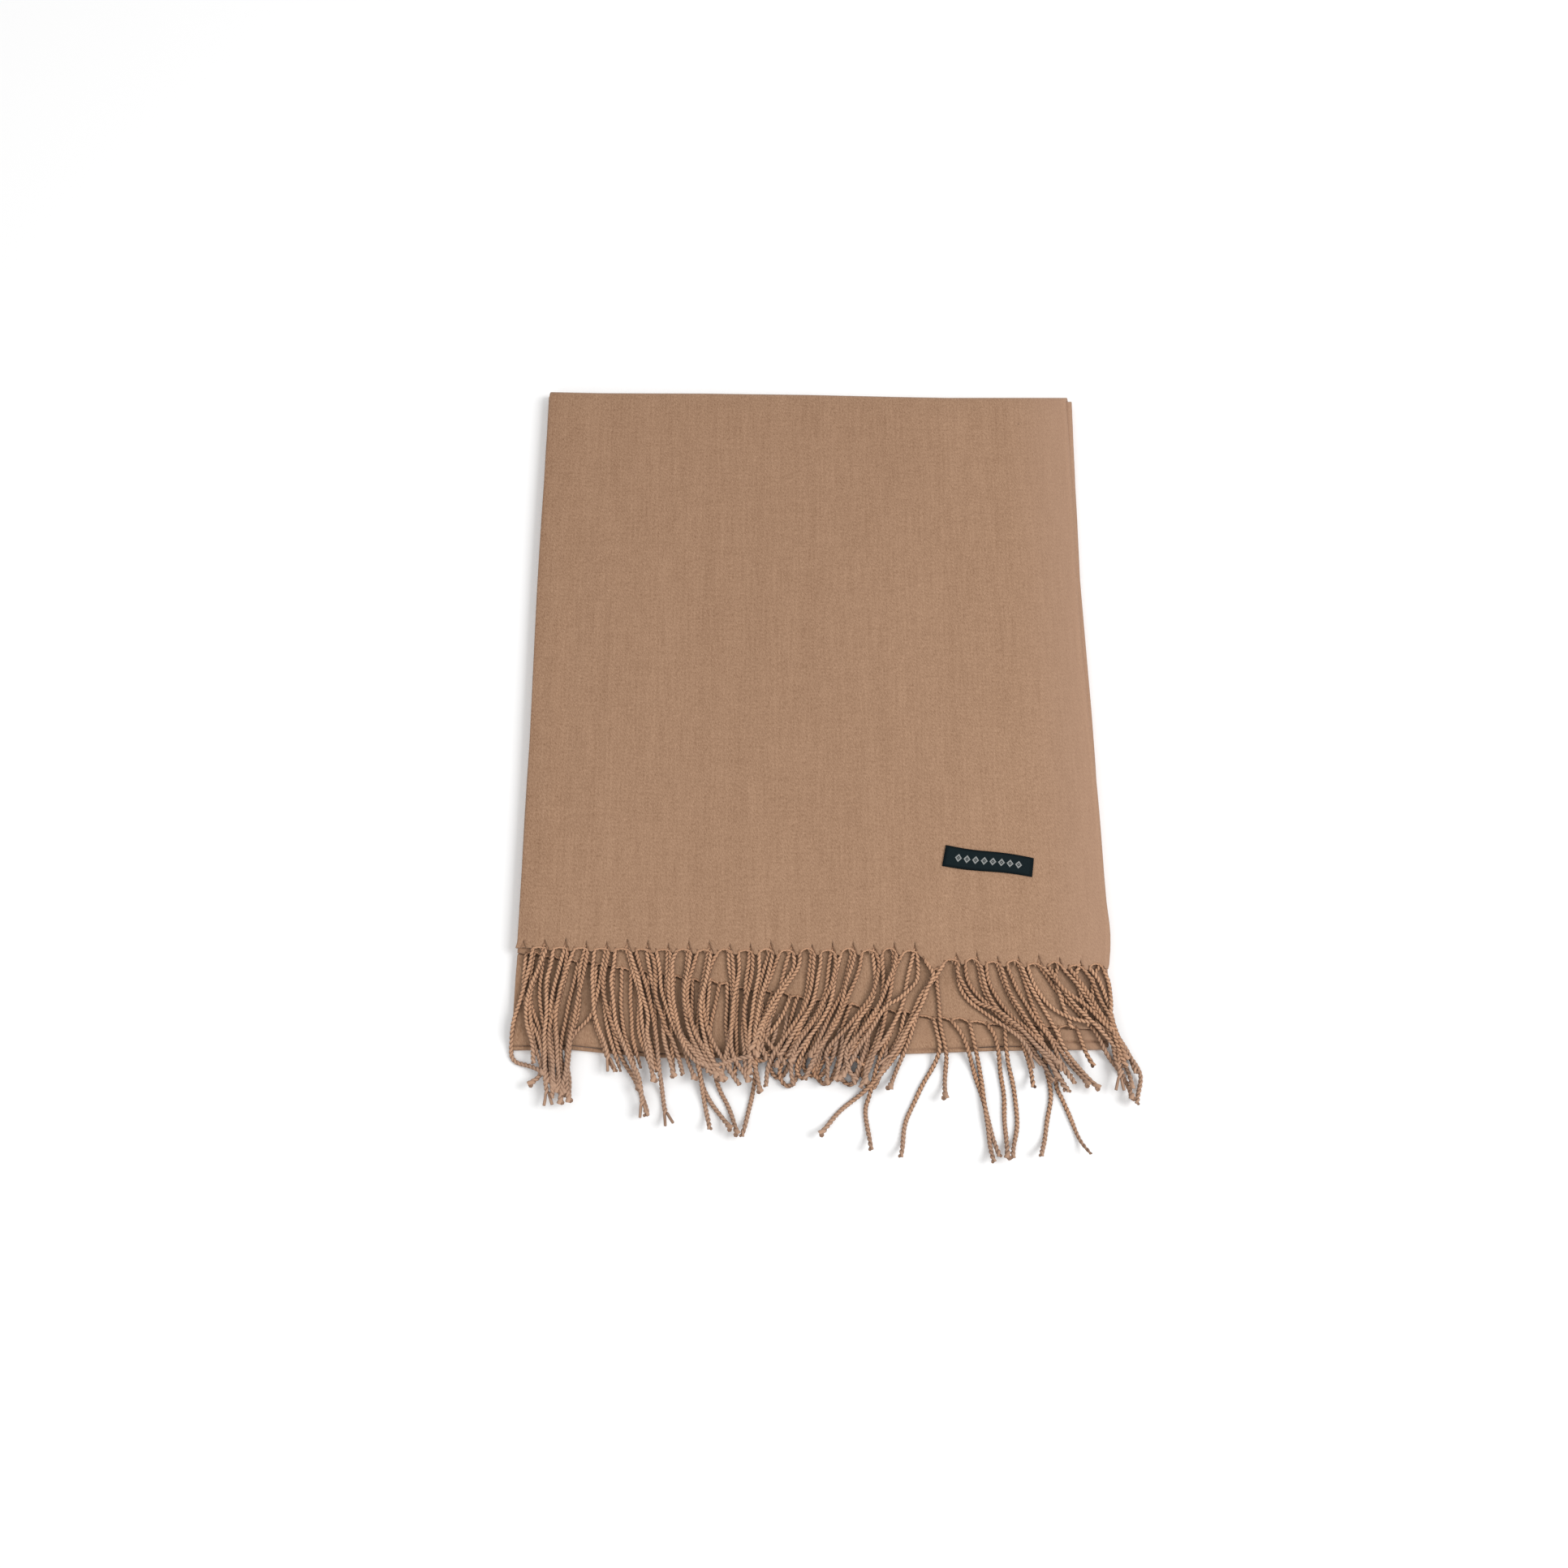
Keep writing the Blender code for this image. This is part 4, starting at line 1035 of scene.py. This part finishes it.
class Pile:
    """The height of all that lies so far, on a grid in plan. Each strand is laid on what is under it."""

    def __init__(self):
        self.xs = np.arange(*GRID_X, CELL)
        self.ys = np.arange(*GRID_Y, CELL)
        self.tops = np.zeros((len(self.xs), len(self.ys)))
        self.cloth = self.tops
        # The cells under a strand's round section, and how far its surface stands from its middle line there
        reach = math.ceil(BED_RADIUS / CELL)
        cells = [(i, j) for i in range(-reach, reach + 1) for j in range(-reach, reach + 1)]
        self.foot = np.array([cell for cell in cells if math.hypot(*cell) * CELL < BED_RADIUS])
        self.dome = np.sqrt(BED_RADIUS**2 - (np.hypot(*self.foot.T) * CELL)**2)

    def cover(self, near_edge, right_edge, top, rise=None):
        """Lays a cloth panel, given its edges and how far it is puffed up as functions of the place."""
        x, y = np.meshgrid(self.xs, self.ys, indexing="ij")
        inside = (x >= LEFT) & (x <= right_edge(y)) & (y >= near_edge(x))
        heights = top + relief(x, y) * top / UPPER_TOP + (rise(x, y) if rise else 0)
        self.tops[inside] = np.maximum(self.tops[inside], heights[inside])
        self.cloth = self.tops.copy()

    def cells(self, route):
        """The grid's cells under each point of the route, as two tables of their numbers."""
        at = np.rint((route - (self.xs[0], self.ys[0])) / CELL).astype(int)[:, None, :] + self.foot
        return at[..., 0], at[..., 1]

    def lay(self, route, run, root_height, tuck):
        """The strand's heights: it rests, pressed down, on the highest things under it and sags between."""
        i, j = self.cells(route)
        bed = (self.cloth[i, j] + self.dome).max(axis=1)
        support = bed + ((self.tops[i, j] + self.dome).max(axis=1) - bed) * PRESSED
        raised = np.maximum(support, np.maximum(np.roll(support, 1), np.roll(support, -1)))
        heights = raised.copy()
        for _ in range(SAG_ROUNDS):
            padded = np.concatenate([[heights[0]], heights, [heights[-1]]])
            level = (padded[:-2] + padded[1:-1] + padded[2:]) / 3
            heights = np.maximum(raised, level - SAG_A_ROUND)
        kernel = np.array((1, 2, 3, 2, 1)) / 9
        heights = np.convolve(np.pad(heights, 2, mode="edge"), kernel, mode="valid")
        # The strand's head keeps to the height of its hem, and only what lies past it can bear other strands
        held = np.exp(-(run / (HEAD_LENGTH * 0.5 + tuck))**2)
        heights = heights * (1 - held) + root_height * held
        free = run > tuck + HEAD_LENGTH / 2
        self.tops[i[free], j[free]] = np.maximum(self.tops[i[free], j[free]], heights[free, None] + self.dome)
        return heights


# A laid strand: its points, the distance to each, how far its plies have turned and stand apart, how thick
# they are, and its tint, how much painted shade its grooves and sides get and how dull it is
Strand = namedtuple("Strand", "points run phase spread full tint grooved dull")


def strand_shape(run, hand, ending, chance):
    """How far the two plies have turned, how far they stand apart and how thick they are, along the
    strand. They are close at the hem, often less twisted near the tip, and at the tip cut, flared or
    parted. Plies that part turn no further and lie side by side."""
    tip = TIPS[ending]
    left = run[-1] - run
    head = np.clip(run / HEAD_LENGTH, 0, 1)
    at_tip = np.clip(1 - left / tip.length, 0, 1)
    loosened = chance.uniform(0, 0.7) * np.clip(1 - left / LOOSE_LENGTH, 0, 1)
    twisting = run + loosened * left / 2
    if tip.parted > 1:
        twisting = np.minimum(twisting, twisting[np.searchsorted(run, run[-1] - 0.8 * tip.length)])
    # Small sines keep the twist, the spread and the thickness uneven
    slack = 0.12 * np.sin(run * 160 + chance.uniform(0, 6))
    phase = (twisting - twisting[-1]) * hand * 2 * math.pi / TWIST_PITCH + slack * head * (1 - at_tip)
    spread = (0.45 + 0.55 * head) * (1 + 0.05 * np.sin(run * 260 + chance.uniform(0, 6)))
    spread = spread + tip.parted * at_tip**1.3
    full = 0.70 + 0.30 * head + tip.thicker * at_tip**1.6
    full = full * (1 + 0.04 * np.sin(run * 410 + chance.uniform(0, 6)))
    return phase, spread, full


def lay_fringe(fringe, pile):
    """The fringe's strands, laid over what lies there: every third one, then those beside them."""
    chance = random.Random(fringe.seed)
    shaping = random.Random(fringe.seed + SHAPING_SEED)
    roots = places_of(fringe.roots)
    routes = [strand_route(root, fringe, chance) for root in roots]
    strands = []
    for first in range(LAYING_ROUNDS):
        for k in range(first, len(roots), LAYING_ROUNDS):
            route, run, tip = routes[k]
            root_height = fringe.height + float(relief(*route[0])) * fringe.height / UPPER_TOP
            heights = pile.lay(route, run, root_height, fringe.tuck)
            hand = -1 if k % 2 else 1
            phase, spread, full = strand_shape(run, hand, tip, shaping)
            points = np.column_stack([route, heights])
            dull = np.clip((run - DULL_FROM) / DULL_OVER, 0, 1)
            strands.append(Strand(points, run, phase, spread, full, shaping.random(), 1.0, dull))
    return strands


def strand_lines(name, strands):
    """The strands' middle lines as one mesh of edges, with what their plies need kept at each point."""
    vertices = np.concatenate([strand.points for strand in strands])
    edges = []
    start = 0
    for strand in strands:
        last = start + len(strand.points) - 1
        edges += [(i, i + 1) for i in range(start, last)]
        start = last + 1
    mesh = bpy.data.meshes.new(name)
    mesh.from_pydata(vertices.tolist(), edges, [])
    kept = {
        "phase": [strand.phase for strand in strands],
        "spread": [strand.spread for strand in strands],
        "full": [strand.full for strand in strands],
        "tint": [np.full(len(strand.run), strand.tint) for strand in strands],
        "grooved": [np.full(len(strand.run), strand.grooved) for strand in strands],
        "dull": [strand.dull for strand in strands],
    }
    for key, values in kept.items():
        attribute = mesh.attributes.new(key, "FLOAT", "POINT")
        attribute.data.foreach_set("value", np.concatenate(values).astype(np.float32))
    return mesh


def twisted_cord_tree():
    """Two plies twisted round each middle line, each a round tube that keeps the middle line's place."""
    group = bpy.data.node_groups.new("twisted_cord", "GeometryNodeTree")
    sockets = (
        ("Lines", "NodeSocketGeometry"), ("Ply radius", "NodeSocketFloat"),
        ("Twist radius", "NodeSocketFloat"), ("Step", "NodeSocketFloat"), ("Sides", "NodeSocketInt"),
        ("Yarn", "NodeSocketMaterial"),
    )
    for name, kind in sockets:
        group.interface.new_socket(name, in_out="INPUT", socket_type=kind)
    group.interface.new_socket("Cords", in_out="OUTPUT", socket_type="NodeSocketGeometry")
    tree = Nodes(group)
    given = tree.node("NodeGroupInput").outputs

    def kept(name):
        settings = {"data_type": "FLOAT"}
        return tree.value("GeometryNodeInputNamedAttribute", settings, {"Name": name}, "Attribute")

    curve = tree.node("GeometryNodeMeshToCurve", None, {"Mesh": given["Lines"]}).outputs["Curve"]
    fine = {"Curve": curve, "Length": given["Step"]}
    curve = tree.node("GeometryNodeResampleCurve", {"mode": "LENGTH"}, fine).outputs["Curve"]
    curve = tree.node("GeometryNodeSetCurveNormal", {"mode": "Z_UP"}, {"Curve": curve}).outputs["Curve"]
    place = tree.node("GeometryNodeInputPosition").outputs["Position"]
    axis = {"Geometry": curve, "Name": "axis", "Value": place}
    stored = {"data_type": "FLOAT_VECTOR", "domain": "POINT"}
    curve = tree.node("GeometryNodeStoreNamedAttribute", stored, axis).outputs["Geometry"]
    level = tree.node("GeometryNodeInputNormal").outputs["Normal"]
    tangent = tree.node("GeometryNodeInputTangent").outputs["Tangent"]
    upward = tree.vector("CROSS_PRODUCT", tangent, level)
    circle = {"Resolution": given["Sides"], "Radius": given["Ply radius"]}
    profile = tree.node("GeometryNodeCurvePrimitiveCircle", {"mode": "RADIUS"}, circle).outputs["Curve"]
    reach = kept("spread") * Value(tree, given["Twist radius"])
    both = tree.node("GeometryNodeJoinGeometry")
    for ply_angle in (math.pi, 0.0):
        phase = kept("phase") + ply_angle
        sideways = tree.vector("SCALE", level, scale=phase.cosine() * reach)
        lifted = tree.vector("SCALE", upward, scale=phase.sine() * reach)
        moved = {"Geometry": curve, "Offset": tree.vector("ADD", sideways, lifted)}
        ply = tree.node("GeometryNodeSetPosition", None, moved).outputs["Geometry"]
        tube = {"Curve": ply, "Profile Curve": profile, "Scale": kept("full"), "Fill Caps": True}
        ply = tree.node("GeometryNodeCurveToMesh", None, tube).outputs["Mesh"]
        tree.tree.links.new(ply, both.inputs["Geometry"])
    smooth = tree.node("GeometryNodeSetShadeSmooth", None, {"Geometry": both.outputs["Geometry"]})
    real = tree.node("GeometryNodeRealizeInstances", None, {"Geometry": smooth.outputs["Geometry"]})
    finish = {"Geometry": real.outputs["Geometry"], "Material": given["Yarn"]}
    cords = tree.node("GeometryNodeSetMaterial", None, finish)
    tree.node("NodeGroupOutput", None, {"Cords": cords.outputs["Geometry"]})
    return group


def rims_of(fringe, strands, chance):
    """The rolled rim of the hem, from each cord's head over the arch of the cloth's edge to the next."""
    heads = sorted(strands, key=lambda strand: strand.points[0, 0])
    rims = []
    for left, right in zip(heads, heads[1:]):
        if right.points[0, 0] - left.points[0, 0] < WIDE_GAP:
            continue
        low_left, low_right = [
            head.points[np.searchsorted(head.run, HEAD_LENGTH + fringe.tuck)] for head in (left, right)
        ]
        edge = []
        for share in np.linspace(0.06, 0.94, 9):
            x = left.points[0, 0] * (1 - share) + right.points[0, 0] * share
            y = edge_y(fringe.hem.line, x) + float(hem_shift(fringe.hem, x, 0)) - RIM_OUT
            y += chance.uniform(-1, 1) * RIM_UNEVEN
            z = fringe.height + RIM_RISE + float(relief(x, y)) * fringe.height / UPPER_TOP
            edge.append(np.array((x, y, z)))
        fine, run = smooth_path([low_left, *edge, low_right])
        points, at = resampled(fine, run, run[-1], CORD_STEP)
        share = at / at[-1]
        full = 0.85 + 0.25 * np.abs(2 * share - 1)**1.5
        phase = at * 2 * math.pi / RIM_PITCH
        spread = np.full(len(at), RIM_SPREAD)
        tint = chance.uniform(*RIM_TINT)
        rims.append(Strand(points, at, phase, spread, full, tint, RIM_PAINTED_SHADE, np.zeros(len(at))))
    return rims


def make_fringe(fringe, pile, tree, yarn):
    """The fringe's cords and, on a hem's front layer, the rolled rim between them, as one piece."""
    strands = lay_fringe(fringe, pile)
    chance = random.Random(fringe.seed + RIM_SEED)
    cords = new_object(fringe.name + "_cords", strand_lines(fringe.name, strands))
    sizes = {
        "Ply radius": PLY_RADIUS, "Twist radius": TWIST_RADIUS, "Step": CORD_STEP, "Sides": PLY_SIDES,
        "Yarn": yarn,
    }
    grow(cords, tree, sizes)
    if fringe.roots != fringe.hem.roots:
        return cords
    rim_name = fringe.name + "_rim"
    rims = new_object(rim_name, strand_lines(rim_name, rims_of(fringe, strands, chance)))
    grow(rims, tree, sizes | {"Ply radius": RIM_RADIUS})
    return joined(cords, rims)


# ---------------------------------------------------------------- the label

def make_label(material):
    """A small woven label that lies on the upper end, turned a little and gently waved."""
    bm = bmesh.new()
    ahead = Vector((math.cos(LABEL_TURN), math.sin(LABEL_TURN), 0.0))
    aside = Vector((-ahead.y, ahead.x, 0.0))
    middle = Vector((LABEL_X, UPPER_HEM_PLACE + LABEL_FROM_HEM, UPPER_TOP + GAP + LABEL_THICKNESS / 2))
    uv_layer = bm.loops.layers.uv.new("threads")
    rows = []
    for across in np.linspace(-0.5, 0.5, LABEL_STEPS[1] + 1):
        row = []
        for share in np.linspace(-0.5, 0.5, LABEL_STEPS[0] + 1):
            wave = LABEL_WAVE * math.sin(2 * math.pi * share)
            depth = LABEL_DEPTH * (1 - LABEL_TAPER * share)
            slant = LABEL_SLANT * across * (0.5 - share)
            point = middle + ahead * (share * LABEL_WIDTH + slant) + aside * (across * depth + wave)
            droop = LABEL_DROOP * (abs(2 * across)**6 + abs(2 * share)**24)
            lift = float(relief(point.x, point.y)) + LABEL_LIFT * math.sin(share * 9 + 1) - droop
            corner = bm.verts.new(point + Vector((0, 0, lift)))
            row.append((corner, share * LABEL_WIDTH, across * LABEL_DEPTH))
        rows.append(row)
    for low, high in zip(rows, rows[1:]):
        for i in range(LABEL_STEPS[0]):
            corners = (low[i], low[i + 1], high[i + 1], high[i])
            face = bm.faces.new([corner[0] for corner in corners])
            for loop, (_, u, v) in zip(face.loops, corners):
                loop[uv_layer].uv = (u, v)
    return walled(new_piece("woven_label", bm, material), LABEL_THICKNESS * LABEL_SHOWN)


# ---------------------------------------------------------------- pieces

def new_object(name, mesh):
    obj = bpy.data.objects.new(name, mesh)
    bpy.context.scene.collection.objects.link(obj)
    return obj


def new_piece(name, bm, material):
    mesh = bpy.data.meshes.new(name)
    bm.to_mesh(mesh)
    bm.free()
    mesh.materials.append(material)
    return new_object(name, mesh)


def as_plain_mesh(obj):
    """The object with its modifiers worked into its mesh."""
    bpy.context.view_layer.update()
    seen = obj.evaluated_get(bpy.context.evaluated_depsgraph_get())
    mesh = bpy.data.meshes.new_from_object(seen)
    obj.modifiers.clear()
    obj.data = mesh
    return obj


def walled(sheet, thickness):
    """The sheet as a smooth plain mesh with a wall, half of it to each side."""
    for polygon in sheet.data.polygons:
        polygon.use_smooth = True
    wall = sheet.modifiers.new("wall", "SOLIDIFY")
    wall.thickness = thickness
    wall.offset = 0.0
    return as_plain_mesh(sheet)


def grow(obj, tree, inputs):
    """Runs a Geometry Nodes tree on the object with these named inputs and keeps what it makes."""
    modifier = obj.modifiers.new(tree.name, "NODES")
    modifier.node_group = tree
    for item in tree.interface.items_tree:
        if item.in_out == "INPUT" and item.name in inputs:
            modifier[item.identifier] = inputs[item.name]
    return as_plain_mesh(obj)


def joined(first, second):
    """One object of two with the same material."""
    bm = bmesh.new()
    bm.from_mesh(first.data)
    bm.from_mesh(second.data)
    bm.to_mesh(first.data)
    bm.free()
    bpy.data.objects.remove(second)
    return first


# ---------------------------------------------------------------- camera, light and floor

# The camera stands over the near side, with its focal length in pixels of a square picture
CAMERA_PLACE = (-0.01804, -0.39227, 0.92831)
CAMERA_TILT = math.radians(20)
CAMERA_TURN = math.radians(-0.24)
PICTURE_SIDE = 1932
FOCAL_PIXELS = 1957
SENSOR = 36
SKY_STRENGTH = 0.68
FLOOR_HALF = 6


def make_camera():
    camera_data = bpy.data.cameras.new("camera")
    camera_data.sensor_width = SENSOR
    camera_data.lens = SENSOR * FOCAL_PIXELS / PICTURE_SIDE
    camera = bpy.data.objects.new("camera", camera_data)
    camera.location = CAMERA_PLACE
    camera.rotation_euler = (CAMERA_TILT, 0, CAMERA_TURN)
    bpy.context.scene.collection.objects.link(camera)
    bpy.context.scene.camera = camera


def add_softbox(name, place, target, side, power):
    """A square soft light that faces the target."""
    data = bpy.data.lights.new(name, "AREA")
    data.shape = "SQUARE"
    data.size = side
    data.energy = power
    light = bpy.data.objects.new(name, data)
    light.location = place
    light.rotation_euler = (Vector(target) - Vector(place)).to_track_quat("-Z", "Y").to_euler()
    bpy.context.scene.collection.objects.link(light)


def make_studio():
    """An even white surround, two softboxes and a pale floor."""
    world = bpy.data.worlds.new("studio")
    world.use_nodes = True
    background = world.node_tree.nodes["Background"]
    background.inputs["Color"].default_value = (1.0, 1.0, 1.0, 1.0)
    background.inputs["Strength"].default_value = SKY_STRENGTH
    bpy.context.scene.world = world
    bpy.context.scene.view_settings.view_transform = "Standard"
    add_softbox("key", place=(2.3, -0.30, 2.6), target=(0.05, -0.05, 0), side=1.6, power=66)
    add_softbox("fill", place=(-1.2, -2.4, 2.8), target=(0, 0, 0), side=3.0, power=22)
    bm = bmesh.new()
    bmesh.ops.create_grid(bm, x_segments=4, y_segments=4, size=FLOOR_HALF)
    floor = new_piece("floor", bm, pale_floor())


def main():
    make_camera()
    make_studio()
    cloth = make_cloth(camel_twill())
    yarn = camel_cord()
    tree = twisted_cord_tree()

    pile = Pile()
    pile.cover(lambda x: edge_y(NEAR_FOLD, x), lambda y: edge_x(LOWER_RIGHT, y), STACK_TOP, puff)
    pile.cover(lambda x: edge_y(LOWER_HEM, x), lambda y: edge_x(LOWER_RIGHT, y), LOWER_TOP)
    for fringe in (LOWER_BACK, LOWER_FRONT, UPPER_BACK, UPPER_FRONT):
        cords = make_fringe(fringe, pile, tree, yarn)
        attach(cords, "root")
        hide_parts(fringe.name)

    label = make_label(label_satin())
    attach(label, "root")
    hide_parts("label")
    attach(cloth, "root")
    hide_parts("folded_stack", "lower_end", "upper_end")


main()
